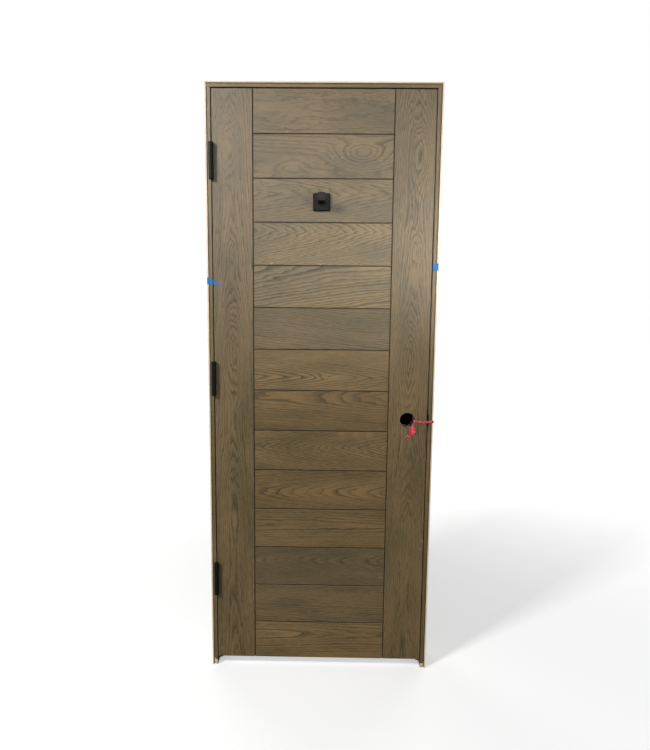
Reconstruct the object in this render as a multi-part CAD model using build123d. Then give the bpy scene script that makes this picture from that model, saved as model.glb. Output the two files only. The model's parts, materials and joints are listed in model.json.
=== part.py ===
from build123d import *

import os
from math import cos, radians, sin, tan

# A pre-hung interior door: a planked oak leaf on three butt hinges, in a kerfed oak jamb.
# Millimetres. +X runs from the hinge side to the lock side, +Y from the face that is pulled to the
# face that is pushed, and +Z is up. The origin is on the back of the hinge jamb, at the middle of
# its depth, at floor level.

# Leaf: two stiles with horizontal planks between them
LEAF_WIDTH = 756.0
LEAF_HEIGHT = 2032.0
LEAF_THICKNESS = 44.5
STILE_WIDTH = 137.5
PLANK_COUNT = 14
TOP_PLANK_TRIM = 2.6
BOTTOM_PLANK_TRIM = 2.6
KERF_WIDTH = 3.2
KERF_DEPTH = 4.0
LEAF_ARRIS = 0.8
LOCK_EDGE_BEVEL = 3.0

# Tongues, grooves and tenons that join the planks to each other and to the stiles
TONGUE_THICKNESS = 12.0
TONGUE_LENGTH = 8.0
TENON_LENGTH = 12.0
GROOVE_SIDE_CLEARANCE = 0.15
GROOVE_END_CLEARANCE = 0.5

# Jamb: two legs and a head, with a kerf in both edges and stops planted on the inner faces
JAMB_THICKNESS = 19.05
JAMB_DEPTH = 116.0
JAMB_ARRIS = 1.0
JAMB_KERF_WIDTH = 3.2
JAMB_KERF_DEPTH = 8.0
JAMB_KERF_INSET = 4.5
HEAD_RABBET_REST = 6.0
STOP_THICKNESS = 10.0
STOP_WIDTH = 32.0
STOP_ARRIS = 2.0
HINGE_FOOT_CHIP_HEIGHT = 27.0
STRIKE_FOOT_CHIP_HEIGHT = 15.0
FOOT_CHIP_OVERRUN = 3.0
FOOT_CHIP_DEPTH = 6.0

# Gaps round the leaf
HINGE_GAP = 3.2
STRIKE_GAP = 3.2
HEAD_GAP = 4.0
STOP_GAP = 2.0
FLOOR_GAP = 35.0

# Butt hinges with five knuckles, let into the stile and the jamb
HINGE_HEIGHT = 114.3
HINGE_PLATE_WIDTH = 38.0
HINGE_PLATE_THICKNESS = 3.3
HINGE_TOP_SETBACK = 177.8
HINGE_BOTTOM_SETBACK = 254.0
KNUCKLE_COUNT = 5
KNUCKLE_RADIUS = 8.0
KNUCKLE_FACE_GAP = 1.0
KNUCKLE_END_PLAY = 0.4
PIN_RADIUS = 4.0
PIN_CLEARANCE = 0.05
PIN_TIP_RADIUS = 7.8
PIN_TIP_HEIGHT = 4.0
PIN_TIP_BEVEL = 0.8
GAIN_CLEARANCE = 0.2

# Lock preparation in the leaf, and strike preparation in the jamb
LOCK_HEIGHT = 912.0
LOCK_BACKSET = 69.85
CROSS_BORE_RADIUS = 27.0
LATCH_BORE_RADIUS = 12.7
FACEPLATE_WIDTH = 25.4
FACEPLATE_HEIGHT = 57.2
FACEPLATE_DEPTH = 3.2
FACEPLATE_CORNER = 6.35
STRIKE_WIDTH = 28.6
STRIKE_HEIGHT = 57.2
STRIKE_DEPTH = 2.0
STRIKE_CORNER = 6.35
STRIKE_BORE_RADIUS = 11.1
LIP_SCOOP_HEIGHT = 59.0
LIP_SCOOP_DEPTH = 4.0

# Robe hook on the pull face: a square rose with a flat arm that turns up
HOOK_HEIGHT = 1664.0
HOOK_OFFSET = -4.0
HOOK_ROSE_SIZE = 59.0
HOOK_ROSE_THICKNESS = 9.0
HOOK_ROSE_CORNER = 5.0
HOOK_ROSE_BEVEL_WIDTH = 4.0
HOOK_ROSE_BEVEL_DEPTH = 3.0
HOOK_ARM_WIDTH = 25.4
HOOK_ARM_THICKNESS = 8.5
HOOK_ARM_REACH = 46.0
HOOK_TIP_HEIGHT = 23.0
HOOK_BEND_ROUND = 1.5
HOOK_CORNER_ROUND = 2.5
HOOK_ARM_EDGE = 1.0

# Ribbon that ties the leaf to the jamb for carriage, cut at the gap
TIE_WIDTH = 8.0
TIE_THICKNESS = 2.0
TIE_DROP = 5.0
TIE_RIM_CLEARANCE = 0.4
TIE_CUT = 1.0
TAIL_RIM_ANGLE = -60.0
TAIL_RUNS = [(12.5, -11.5), (-17.0, -24.5), (-17.0, -16.5)]

# Places that follow from the sizes above
FRAME_WIDTH = 2 * JAMB_THICKNESS + HINGE_GAP + LEAF_WIDTH + STRIKE_GAP
FRAME_HEIGHT = FLOOR_GAP + LEAF_HEIGHT + HEAD_GAP + JAMB_THICKNESS
FRONT = -JAMB_DEPTH / 2
LEAF_BACK = FRONT + LEAF_THICKNESS
LEAF_MIDDLE = FRONT + LEAF_THICKNESS / 2
LEAF_LEFT = JAMB_THICKNESS + HINGE_GAP
LEAF_RIGHT = LEAF_LEFT + LEAF_WIDTH
LEAF_TOP = FLOOR_GAP + LEAF_HEIGHT
PLANK_PITCH = (LEAF_HEIGHT + TOP_PLANK_TRIM + BOTTOM_PLANK_TRIM) / PLANK_COUNT
PIN_X = JAMB_THICKNESS + HINGE_GAP / 2
PIN_Y = FRONT - KNUCKLE_RADIUS - KNUCKLE_FACE_GAP
HINGE_TOP_Z = LEAF_TOP - HINGE_TOP_SETBACK - HINGE_HEIGHT / 2
HINGE_BOTTOM_Z = FLOOR_GAP + HINGE_BOTTOM_SETBACK + HINGE_HEIGHT / 2
HINGE_CENTRES = {
    "top": HINGE_TOP_Z,
    "middle": (HINGE_TOP_Z + HINGE_BOTTOM_Z) / 2,
    "bottom": HINGE_BOTTOM_Z,
}
LOCK_X = LEAF_RIGHT - LOCK_BACKSET
LOCK_Z = FLOOR_GAP + LOCK_HEIGHT
HOOK_X = LEAF_LEFT + LEAF_WIDTH / 2 + HOOK_OFFSET
HOOK_Z = FLOOR_GAP + HOOK_HEIGHT


def block(x, y, z):
    """A box that fills the three given ranges."""
    low = [min(span) for span in (x, y, z)]
    size = [abs(span[1] - span[0]) for span in (x, y, z)]
    return Pos(*low) * Box(*size, align=(Align.MIN, Align.MIN, Align.MIN))


def faces_of_leaf():
    """The pull face and the push face: each as its plane and the way into the wood from it."""
    return [(FRONT, 1), (LEAF_BACK, -1)]


# Leaf
def stile_blank(edge_x, inner_x, bevel):
    """A stile from its outer edge to its inner edge, grooved for tenons and eased along its faces."""
    inward = 1 if inner_x > edge_x else -1
    groove_half = TONGUE_THICKNESS / 2 + GROOVE_SIDE_CLEARANCE
    groove_x = inner_x - inward * (TENON_LENGTH + GROOVE_END_CLEARANCE)
    outline = Polyline(
        (edge_x, FRONT),
        (inner_x, FRONT),
        (inner_x, LEAF_MIDDLE - groove_half),
        (groove_x, LEAF_MIDDLE - groove_half),
        (groove_x, LEAF_MIDDLE + groove_half),
        (inner_x, LEAF_MIDDLE + groove_half),
        (inner_x, LEAF_BACK),
        (edge_x + inward * bevel, LEAF_BACK),
        close=True,
    )
    stile = Pos(0, 0, FLOOR_GAP) * extrude(make_face(outline), LEAF_HEIGHT, dir=(0, 0, 1))
    return chamfer(face_edges(stile), LEAF_ARRIS)


def face_edges(piece):
    """The edges round a leaf piece's pull face and push face."""
    edges = ShapeList()
    for plane_y, _ in faces_of_leaf():
        edges += piece.edges().filter_by_position(Axis.Y, plane_y, plane_y)
    return edges


def hinge_stile():
    """The stile on the hinge side, with a gain for each hinge plate."""
    stile = stile_blank(LEAF_LEFT, LEAF_LEFT + STILE_WIDTH, 0)
    for centre in HINGE_CENTRES.values():
        stile -= hinge_gain(LEAF_LEFT, LEAF_LEFT + HINGE_PLATE_THICKNESS, centre)
    return stile


def lock_stile():
    """The stile on the lock side, bevelled to swing clear, with its cross bore and latch bore."""
    bevel = LEAF_THICKNESS * tan(radians(LOCK_EDGE_BEVEL))
    edge_x = LEAF_RIGHT - bevel / 2
    stile = stile_blank(LEAF_RIGHT, LEAF_RIGHT - STILE_WIDTH, bevel)
    centre = Pos(LOCK_X, LEAF_MIDDLE, LOCK_Z)
    stile -= centre * Rot(X=90) * Cylinder(CROSS_BORE_RADIUS, 2 * LEAF_THICKNESS)
    latch = Cylinder(LATCH_BORE_RADIUS, 2 * LOCK_BACKSET, align=(Align.CENTER, Align.CENTER, Align.MIN))
    stile -= centre * Rot(Y=90) * latch
    faceplate = RectangleRounded(FACEPLATE_HEIGHT, FACEPLATE_WIDTH, FACEPLATE_CORNER)
    seat = Plane((edge_x - FACEPLATE_DEPTH, LEAF_MIDDLE, LOCK_Z), x_dir=(0, 0, 1), z_dir=(1, 0, 0))
    stile -= extrude(seat * faceplate, FACEPLATE_DEPTH + bevel)
    return stile


def plank(row):
    """A plank, counted from the top: tongued above, grooved below and tenoned into both stiles."""
    module_top = LEAF_TOP + TOP_PLANK_TRIM - row * PLANK_PITCH
    top = min(module_top, LEAF_TOP)
    bottom = max(module_top - PLANK_PITCH, FLOOR_GAP)
    left, right = LEAF_LEFT + STILE_WIDTH, LEAF_RIGHT - STILE_WIDTH
    highest, lowest = row == 0, row == PLANK_COUNT - 1
    body = block((left, right), (FRONT, LEAF_BACK), (bottom, top))
    for plane_y, inward in faces_of_leaf():
        kerf_y = (plane_y, plane_y + inward * KERF_DEPTH)
        for end_x, along in ((left, 1), (right, -1)):
            body -= block((end_x, end_x + along * KERF_WIDTH), kerf_y, (bottom, top))
        if not highest:
            body -= block((left, right), kerf_y, (top - KERF_WIDTH, top))
    body = chamfer(face_edges(body), LEAF_ARRIS)
    core_y = (LEAF_MIDDLE - TONGUE_THICKNESS / 2, LEAF_MIDDLE + TONGUE_THICKNESS / 2)
    body += block((left - TENON_LENGTH, right + TENON_LENGTH), core_y, (bottom, top))
    if not highest:
        body += block((left, right), core_y, (top, top + TONGUE_LENGTH))
    if not lowest:
        slot_y = (core_y[0] - GROOVE_SIDE_CLEARANCE, core_y[1] + GROOVE_SIDE_CLEARANCE)
        slot_x = (left - TENON_LENGTH, right + TENON_LENGTH)
        body -= block(slot_x, slot_y, (bottom, bottom + TONGUE_LENGTH + GROOVE_END_CLEARANCE))
    return body


# Jamb
def jamb_leg(outer_x, inner_x, chip_height):
    """A jamb leg with its kerfs, the rabbet that takes the head, and the chip at its foot."""
    inward = 1 if inner_x > outer_x else -1
    leg = block((outer_x, inner_x), (FRONT, -FRONT), (0, FRAME_HEIGHT))
    inner_arrises = leg.edges().filter_by(Axis.Z).filter_by_position(Axis.X, inner_x, inner_x)
    leg = chamfer(inner_arrises, JAMB_ARRIS)
    shoulder_z = FRAME_HEIGHT - JAMB_THICKNESS
    rest_x = outer_x + inward * HEAD_RABBET_REST
    leg -= block((rest_x, inner_x), (FRONT, -FRONT), (shoulder_z, FRAME_HEIGHT))
    kerf_x = outer_x + inward * JAMB_KERF_INSET
    for edge_y, into in ((FRONT, 1), (-FRONT, -1)):
        kerf_y = (edge_y, edge_y + into * JAMB_KERF_DEPTH)
        leg -= block((kerf_x, kerf_x + inward * JAMB_KERF_WIDTH), kerf_y, (0, FRAME_HEIGHT))
    chip_x = kerf_x + inward * JAMB_KERF_WIDTH / 2
    return leg - foot_chip(chip_x, inner_x + inward * FOOT_CHIP_OVERRUN, chip_height)


def foot_chip(tall_x, low_x, height):
    """The splinter that is off a leg's foot: tallest beside the kerf, running out at the inner face."""
    outline = Polyline((tall_x, FRONT, 0), (low_x, FRONT, 0), (tall_x, FRONT, height), close=True)
    root = Vertex(tall_x, FRONT + FOOT_CHIP_DEPTH, 0)
    return loft([make_face(outline).face(), root])


def hinge_jamb():
    """The leg that carries the hinges, with a gain for each hinge plate."""
    leg = jamb_leg(0, JAMB_THICKNESS, HINGE_FOOT_CHIP_HEIGHT)
    for centre in HINGE_CENTRES.values():
        leg -= hinge_gain(JAMB_THICKNESS, JAMB_THICKNESS - HINGE_PLATE_THICKNESS, centre)
    return leg


def strike_jamb():
    """The leg that takes the latch: strike mortise, latch hole and the scoop for the strike's lip."""
    inner_x = FRAME_WIDTH - JAMB_THICKNESS
    leg = jamb_leg(FRAME_WIDTH, inner_x, STRIKE_FOOT_CHIP_HEIGHT)
    seat = Plane((inner_x, LEAF_MIDDLE, LOCK_Z), x_dir=(0, 0, 1), z_dir=(1, 0, 0))
    mortise = RectangleRounded(STRIKE_HEIGHT, STRIKE_WIDTH, STRIKE_CORNER)
    leg -= extrude(seat * mortise, STRIKE_DEPTH)
    leg -= Pos(inner_x, LEAF_MIDDLE, LOCK_Z) * Rot(Y=90) * Cylinder(STRIKE_BORE_RADIUS, 3 * JAMB_THICKNESS)
    half = LIP_SCOOP_HEIGHT / 2
    scoop_radius = (half**2 + LIP_SCOOP_DEPTH**2) / (2 * LIP_SCOOP_DEPTH)
    scoop = Cylinder(scoop_radius, LEAF_THICKNESS / 2, align=(Align.CENTER, Align.CENTER, Align.MAX))
    leg -= Pos(inner_x + LIP_SCOOP_DEPTH - scoop_radius, FRONT, LOCK_Z) * Rot(X=90) * scoop
    return leg


def head_jamb():
    """The head, housed in the rabbets of both legs."""
    bottom = FRAME_HEIGHT - JAMB_THICKNESS
    span_x = (HEAD_RABBET_REST, FRAME_WIDTH - HEAD_RABBET_REST)
    head = block(span_x, (FRONT, -FRONT), (bottom, FRAME_HEIGHT))
    lower_arrises = head.edges().filter_by(Axis.X).filter_by_position(Axis.Z, bottom, bottom)
    head = chamfer(lower_arrises, JAMB_ARRIS)
    kerf_z = FRAME_HEIGHT - JAMB_KERF_INSET
    for edge_y, into in ((FRONT, 1), (-FRONT, -1)):
        kerf_y = (edge_y, edge_y + into * JAMB_KERF_DEPTH)
        head -= block(span_x, kerf_y, (kerf_z - JAMB_KERF_WIDTH, kerf_z))
    return head


def stop(x, z, axis):
    """A length of stop moulding behind the leaf, eased along the edges that stand off the jamb."""
    front_y = LEAF_BACK + STOP_GAP
    strip = block(x, (front_y, front_y + STOP_WIDTH), z)
    inner = {"hinge": (Axis.X, x[1]), "strike": (Axis.X, x[0]), "head": (Axis.Z, z[0])}[axis]
    length = Axis.X if axis == "head" else Axis.Z
    arrises = strip.edges().filter_by(length).filter_by_position(inner[0], inner[1], inner[1])
    return chamfer(arrises, STOP_ARRIS)


def stops():
    """The three stops: the head stop runs through, and the leg stops butt up under it."""
    left, right = JAMB_THICKNESS, FRAME_WIDTH - JAMB_THICKNESS
    under_head = FRAME_HEIGHT - JAMB_THICKNESS
    under_stop = under_head - STOP_THICKNESS
    return {
        "hinge_stop": stop((left, left + STOP_THICKNESS), (0, under_stop), "hinge"),
        "strike_stop": stop((right - STOP_THICKNESS, right), (0, under_stop), "strike"),
        "head_stop": stop((left, right), (under_stop, under_head), "head"),
    }


# Hinges
def hinge_gain(face_x, floor_x, centre):
    """The shallow recess that a hinge plate sits in, open to the pull face."""
    half = HINGE_HEIGHT / 2 + GAIN_CLEARANCE
    depth_y = (FRONT, FRONT + HINGE_PLATE_WIDTH + GAIN_CLEARANCE)
    return block((face_x, floor_x), depth_y, (centre - half, centre + half))


def hinge_plate(face_x, floor_x, centre, first_knuckle):
    """One half of a hinge: its plate, and every other knuckle with the neck that carries it."""
    bottom = centre - HINGE_HEIGHT / 2
    half = block((face_x, floor_x), (FRONT, FRONT + HINGE_PLATE_WIDTH), (bottom, bottom + HINGE_HEIGHT))
    pitch = HINGE_HEIGHT / KNUCKLE_COUNT
    for knuckle in range(first_knuckle, KNUCKLE_COUNT, 2):
        low = bottom + knuckle * pitch + (KNUCKLE_END_PLAY / 2 if knuckle else 0)
        high = bottom + (knuckle + 1) * pitch
        high -= KNUCKLE_END_PLAY / 2 if knuckle < KNUCKLE_COUNT - 1 else 0
        half += block((face_x, floor_x), (PIN_Y, FRONT), (low, high))
        barrel = Cylinder(KNUCKLE_RADIUS, high - low, align=(Align.CENTER, Align.CENTER, Align.MIN))
        half += Pos(PIN_X, PIN_Y, low) * barrel
    bore = Cylinder(PIN_RADIUS + PIN_CLEARANCE, 2 * HINGE_HEIGHT)
    return half - Pos(PIN_X, PIN_Y, centre) * bore


def hinge_pin(centre):
    """A hinge pin with a bevelled button at each end."""
    button = Cylinder(PIN_TIP_RADIUS, PIN_TIP_HEIGHT, align=(Align.CENTER, Align.CENTER, Align.MIN))
    button = chamfer(button.edges().group_by(Axis.Z)[-1], PIN_TIP_BEVEL)
    upper = Pos(0, 0, HINGE_HEIGHT / 2) * button
    lower = Rot(X=180) * upper
    return Pos(PIN_X, PIN_Y, centre) * (Cylinder(PIN_RADIUS, HINGE_HEIGHT) + upper + lower)


# Robe hook
def hook_rose():
    """The square rose that hides the hook's fixing, bevelled round its face."""
    face_size = HOOK_ROSE_SIZE - 2 * HOOK_ROSE_BEVEL_WIDTH
    face_corner = HOOK_ROSE_CORNER - HOOK_ROSE_BEVEL_WIDTH
    edge_height = HOOK_ROSE_THICKNESS - HOOK_ROSE_BEVEL_DEPTH
    outline = RectangleRounded(HOOK_ROSE_SIZE, HOOK_ROSE_SIZE, HOOK_ROSE_CORNER)
    face = RectangleRounded(face_size, face_size, face_corner)
    bevel = loft([Pos(0, 0, edge_height) * outline, Pos(0, 0, HOOK_ROSE_THICKNESS) * face], ruled=True)
    rose = extrude(outline, edge_height) + bevel
    return Pos(HOOK_X, FRONT, HOOK_Z) * Rot(X=90) * rose


def hook_arm():
    """The flat arm: straight out of the rose's middle, then turned up with a round bend."""
    root_y = FRONT - HOOK_ROSE_THICKNESS
    tip_y = root_y - HOOK_ARM_REACH
    back_y = tip_y + HOOK_ARM_THICKNESS
    low, high = HOOK_Z - HOOK_ARM_THICKNESS / 2, HOOK_Z + HOOK_TIP_HEIGHT
    upper = low + HOOK_ARM_THICKNESS
    profile = FilletPolyline((root_y, low), (tip_y, low), (tip_y, high), radius=HOOK_CORNER_ROUND)
    profile += Line((tip_y, high), (back_y, high))
    profile += FilletPolyline((back_y, high), (back_y, upper), (root_y, upper), radius=HOOK_BEND_ROUND)
    profile += Line((root_y, upper), (root_y, low))
    side = Plane((HOOK_X - HOOK_ARM_WIDTH / 2, 0, 0), x_dir=(0, 1, 0), z_dir=(1, 0, 0))
    arm = extrude(side * make_face(profile), HOOK_ARM_WIDTH)
    return chamfer(arm.edges().filter_by(GeomType.LINE).group_by(Axis.Z)[-1], HOOK_ARM_EDGE)


# Carriage tie
def tie_tail_route():
    """The tail's corners, from the rim of the cross bore, across and up from the bore's centre."""
    angle = radians(TAIL_RIM_ANGLE)
    route = [(CROSS_BORE_RADIUS * cos(angle), CROSS_BORE_RADIUS * sin(angle))]
    for across, up in TAIL_RUNS:
        route.append((route[-1][0] + across, route[-1][1] + up))
    return route


def tie_pieces():
    """The ribbon across the lock stile, its hanging tail, and its end on the strike jamb."""
    jamb_x = LEAF_RIGHT + STRIKE_GAP
    flat_y = (FRONT - TIE_THICKNESS, FRONT)
    middle_z = LOCK_Z - TIE_DROP
    span_z = (middle_z - TIE_WIDTH / 2, middle_z + TIE_WIDTH / 2)
    bore = Cylinder(CROSS_BORE_RADIUS + TIE_RIM_CLEARANCE, 2 * LEAF_THICKNESS)
    bore = Pos(LOCK_X, FRONT, LOCK_Z) * Rot(X=90) * bore
    face = Plane((LOCK_X, FRONT, LOCK_Z), x_dir=(1, 0, 0), z_dir=(0, -1, 0))
    tail = extrude(face * trace(Polyline(*tie_tail_route()), TIE_WIDTH), TIE_THICKNESS)
    return {
        "tie_strap": block((LOCK_X, jamb_x - TIE_CUT), flat_y, span_z) - bore,
        "tie_jamb_end": block((jamb_x, FRAME_WIDTH), flat_y, span_z),
        "tie_tail": tail - bore,
    }


def assembly():
    """Every piece of the door by name."""
    pieces = {
        "hinge_jamb": hinge_jamb(),
        "strike_jamb": strike_jamb(),
        "head_jamb": head_jamb(),
        **stops(),
        "hinge_stile": hinge_stile(),
        "lock_stile": lock_stile(),
        "hook_rose": hook_rose(),
        "hook_arm": hook_arm(),
        **tie_pieces(),
    }
    for row in range(PLANK_COUNT):
        pieces[f"plank_{row + 1:02d}"] = plank(row)
    for place, centre in HINGE_CENTRES.items():
        jamb_face, leaf_face = JAMB_THICKNESS, LEAF_LEFT
        pieces[f"{place}_hinge_jamb_plate"] = hinge_plate(
            jamb_face, jamb_face - HINGE_PLATE_THICKNESS, centre, first_knuckle=0
        )
        pieces[f"{place}_hinge_leaf_plate"] = hinge_plate(
            leaf_face, leaf_face + HINGE_PLATE_THICKNESS, centre, first_knuckle=1
        )
        pieces[f"{place}_hinge_pin"] = hinge_pin(centre)
    return pieces


os.makedirs("parts", exist_ok=True)
for name, piece in assembly().items():
    export_step(piece, f"parts/{name}.step")
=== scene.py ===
import json
import logging
import math
from dataclasses import dataclass, field, replace
from enum import Enum
from functools import cached_property, reduce

import bmesh
import bpy
from mathutils import Matrix, Vector, noise

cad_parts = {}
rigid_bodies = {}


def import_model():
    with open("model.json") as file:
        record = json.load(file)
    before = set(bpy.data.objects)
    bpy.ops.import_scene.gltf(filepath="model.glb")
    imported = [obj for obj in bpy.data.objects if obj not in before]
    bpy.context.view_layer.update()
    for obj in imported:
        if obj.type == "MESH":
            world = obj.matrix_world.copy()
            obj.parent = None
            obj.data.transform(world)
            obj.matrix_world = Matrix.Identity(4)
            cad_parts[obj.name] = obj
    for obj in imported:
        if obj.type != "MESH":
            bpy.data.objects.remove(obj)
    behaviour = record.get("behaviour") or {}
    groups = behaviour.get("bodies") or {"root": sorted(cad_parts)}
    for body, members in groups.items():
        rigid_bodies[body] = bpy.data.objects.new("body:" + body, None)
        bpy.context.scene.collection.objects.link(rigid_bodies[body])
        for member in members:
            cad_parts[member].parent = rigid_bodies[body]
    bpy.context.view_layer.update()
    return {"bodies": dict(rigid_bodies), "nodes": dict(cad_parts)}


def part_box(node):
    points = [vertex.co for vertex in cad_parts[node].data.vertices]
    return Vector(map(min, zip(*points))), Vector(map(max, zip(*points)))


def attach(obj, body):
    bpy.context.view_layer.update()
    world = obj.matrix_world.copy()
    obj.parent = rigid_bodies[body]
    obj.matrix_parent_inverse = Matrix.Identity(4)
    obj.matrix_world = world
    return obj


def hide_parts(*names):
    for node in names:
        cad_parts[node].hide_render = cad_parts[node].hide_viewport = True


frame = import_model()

log = logging.getLogger("door")

Socket = bpy.types.NodeSocket
Node = bpy.types.Node
Tree = bpy.types.NodeTree
Material = bpy.types.Material
Object = bpy.types.Object
Mesh = bpy.types.Mesh
Value = float | tuple[float, ...] | Socket
Point = tuple[float, float, float]
Colour = tuple[float, float, float]
Table = tuple[tuple[float, float], ...]

MM = 0.001
WHITE: Colour = (1.0, 1.0, 1.0)
NOISE_MIDDLE = 0.5


# ---- the door's own sizes

@dataclass(frozen=True)
class DoorSizes:
    """Places on the door that finishes and small pieces are set out from, in millimetres."""

    frame_width: float = 800.5
    frame_height: float = 2090.05
    jamb_thick: float = 19.05
    jamb_kerf_inset: float = 4.5
    jamb_kerf: float = 3.2
    front: float = -58.0
    leaf_back: float = -13.5
    leaf_left: float = 22.25
    leaf_right: float = 778.25
    leaf_low: float = 35.0
    leaf_high: float = 2067.0
    stile: float = 137.5
    lock_x: float = 708.4
    lock_z: float = 947.0
    bore: float = 27.0
    latch_bore: float = 12.7
    hook_x: float = 396.25
    hook_z: float = 1699.0
    rose: float = 59.0
    rose_thick: float = 9.0

    @property
    def leaf_middle(self) -> float:
        """Depth of the leaf's middle plane."""
        return (self.front + self.leaf_back) / 2


DOOR = DoorSizes()


class Body(str, Enum):
    """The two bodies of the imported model."""

    FRAME = "frame"
    LEAF = "leaf"


class Slot(str, Enum):
    """The record's material slots that new pieces are logged with."""

    HINGE = "hinge_black"
    HOOK = "hook_black"
    TIE = "tie_red"
    JAMB = "jamb_oak"


class Grain(Enum):
    """How a board's length, width and depth lie in the shared frame, as axis numbers."""

    PLANK = (0, 2, 1)
    STILE = (2, 0, 1)
    LEG = (2, 1, 0)
    HEAD = (0, 1, 2)


def metres(point: Point) -> Point:
    """A point in metres from one in millimetres."""
    return tuple(value * MM for value in point)


# ---- node helpers

class Graph:
    """A node tree with short calls that each add nodes and hand back an output."""

    def __init__(self, tree: Tree) -> None:
        """Keeps the tree that nodes are added to."""
        self.tree = tree

    def put(self, socket: Socket, value: Value) -> None:
        """Links an output to a socket, or sets the socket's own value.

        Args:
            socket: The input to fill.
            value: An output socket, a number or a tuple of numbers.
        """
        if isinstance(value, Socket):
            self.tree.links.new(value, socket)
        elif socket.type == "RGBA":
            socket.default_value = (*value[:3], 1.0)
        else:
            socket.default_value = value

    def node(self, kind: str, inputs: dict[str | int, Value] | None = None,
             **settings: object) -> Node:
        """Adds a node.

        Args:
            kind: The node's type name.
            inputs: Input names or numbers with what goes into them.
            **settings: The node's own properties.

        Returns:
            The new node.
        """
        node = self.tree.nodes.new(kind)
        for key, value in settings.items():
            setattr(node, key, value)
        for key, value in (inputs or {}).items():
            self.put(node.inputs[key], value)
        return node

    def math(self, operation: str, *values: Value, clamp: bool = False) -> Socket:
        """One sum on numbers.

        Args:
            operation: The Math node's operation.
            *values: Its one to three inputs.
            clamp: Whether the result is kept from 0 to 1.

        Returns:
            The result.
        """
        inputs = dict(enumerate(values))
        return self.node("ShaderNodeMath", inputs, operation=operation, use_clamp=clamp).outputs[0]

    def plus(self, *values: Value) -> Socket:
        """The sum of some numbers."""
        return reduce(lambda a, b: self.math("ADD", a, b), values)

    def times(self, *values: Value) -> Socket:
        """The product of some numbers."""
        return reduce(lambda a, b: self.math("MULTIPLY", a, b), values)

    def most(self, *values: Value) -> Socket:
        """The largest of some numbers."""
        return reduce(lambda a, b: self.math("MAXIMUM", a, b), values)

    def minus(self, first: Value, second: Value) -> Socket:
        """A number less another."""
        return self.math("SUBTRACT", first, second)

    def below(self, value: Value, limit: Value) -> Socket:
        """1 where a number is under a limit, else 0."""
        return self.math("LESS_THAN", value, limit)

    def above(self, value: Value, limit: Value) -> Socket:
        """1 where a number is over a limit, else 0."""
        return self.math("GREATER_THAN", value, limit)

    def near(self, value: Value, middle: float, reach: float) -> Socket:
        """1 where a number lies within a reach of a middle, else 0."""
        return self.below(self.math("ABSOLUTE", self.minus(value, middle)), reach)

    def vector(self, operation: str, *values: Value) -> Socket:
        """One sum on vectors.

        Args:
            operation: The Vector Math node's operation.
            *values: Its inputs.

        Returns:
            The vector, or the number for an operation that gives one.
        """
        node = self.node("ShaderNodeVectorMath", dict(enumerate(values)), operation=operation)
        return node.outputs[1 if operation in ("LENGTH", "DISTANCE", "DOT_PRODUCT") else 0]

    def scaled(self, vector: Value, factor: Value) -> Socket:
        """A vector or a colour times a number."""
        inputs = {0: vector, "Scale": factor}
        return self.node("ShaderNodeVectorMath", inputs, operation="SCALE").outputs[0]

    def split(self, vector: Value) -> list[Socket]:
        """The three numbers of a vector."""
        return list(self.node("ShaderNodeSeparateXYZ", {0: vector}).outputs)

    def join(self, x: Value, y: Value, z: Value) -> Socket:
        """A vector from three numbers."""
        return self.node("ShaderNodeCombineXYZ", {0: x, 1: y, 2: z}).outputs[0]

    def span(self, value: Value, low: Value, high: Value, to_low: Value = 0.0,
             to_high: Value = 1.0) -> Socket:
        """A smooth, clamped step of a number from one range to another.

        Args:
            value: The number.
            low: Where the step starts.
            high: Where the step ends.
            to_low: The result at the start.
            to_high: The result at the end.

        Returns:
            The stepped number.
        """
        inputs = {0: value, 1: low, 2: high, 3: to_low, 4: to_high}
        node = self.node("ShaderNodeMapRange", inputs, interpolation_type="SMOOTHSTEP")
        return node.outputs[0]

    def noise(self, place: Value, size: Value, detail: float = 2.0, rough: float = 0.5,
              output: int | str = 0) -> Socket:
        """A noise texture.

        Args:
            place: The place.
            size: Repeats a metre: one number, or one for each axis.
            detail: How many finer layers it has.
            rough: How strong the finer layers are.
            output: 0 for its value, "Color" for three values at once.

        Returns:
            The noise, from 0 to 1.
        """
        if isinstance(size, tuple):
            place, size = self.vector("MULTIPLY", place, size), 1.0
        inputs = {"Vector": place, "Scale": size, "Detail": detail, "Roughness": rough}
        return self.node("ShaderNodeTexNoise", inputs).outputs[output]

    def fade(self, share: Value, start: Value, end: Value) -> Socket:
        """A mix of two numbers."""
        inputs = {0: share, 2: start, 3: end}
        return self.node("ShaderNodeMix", inputs, data_type="FLOAT").outputs[0]

    def blend(self, share: Value, start: Value, end: Value) -> Socket:
        """A mix of two colours."""
        inputs = {0: share, 6: start, 7: end}
        return self.node("ShaderNodeMix", inputs, data_type="RGBA").outputs[2]

    def group(self, tree: Tree, **values: Value) -> bpy.types.bpy_prop_collection:
        """Places a node group.

        Args:
            tree: The group.
            **values: Its inputs by name, with _ for each space.

        Returns:
            The group's outputs.
        """
        node = self.node("ShaderNodeGroup", node_tree=tree)
        for key, value in values.items():
            self.put(node.inputs[key.replace("_", " ")], value)
        return node.outputs


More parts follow.
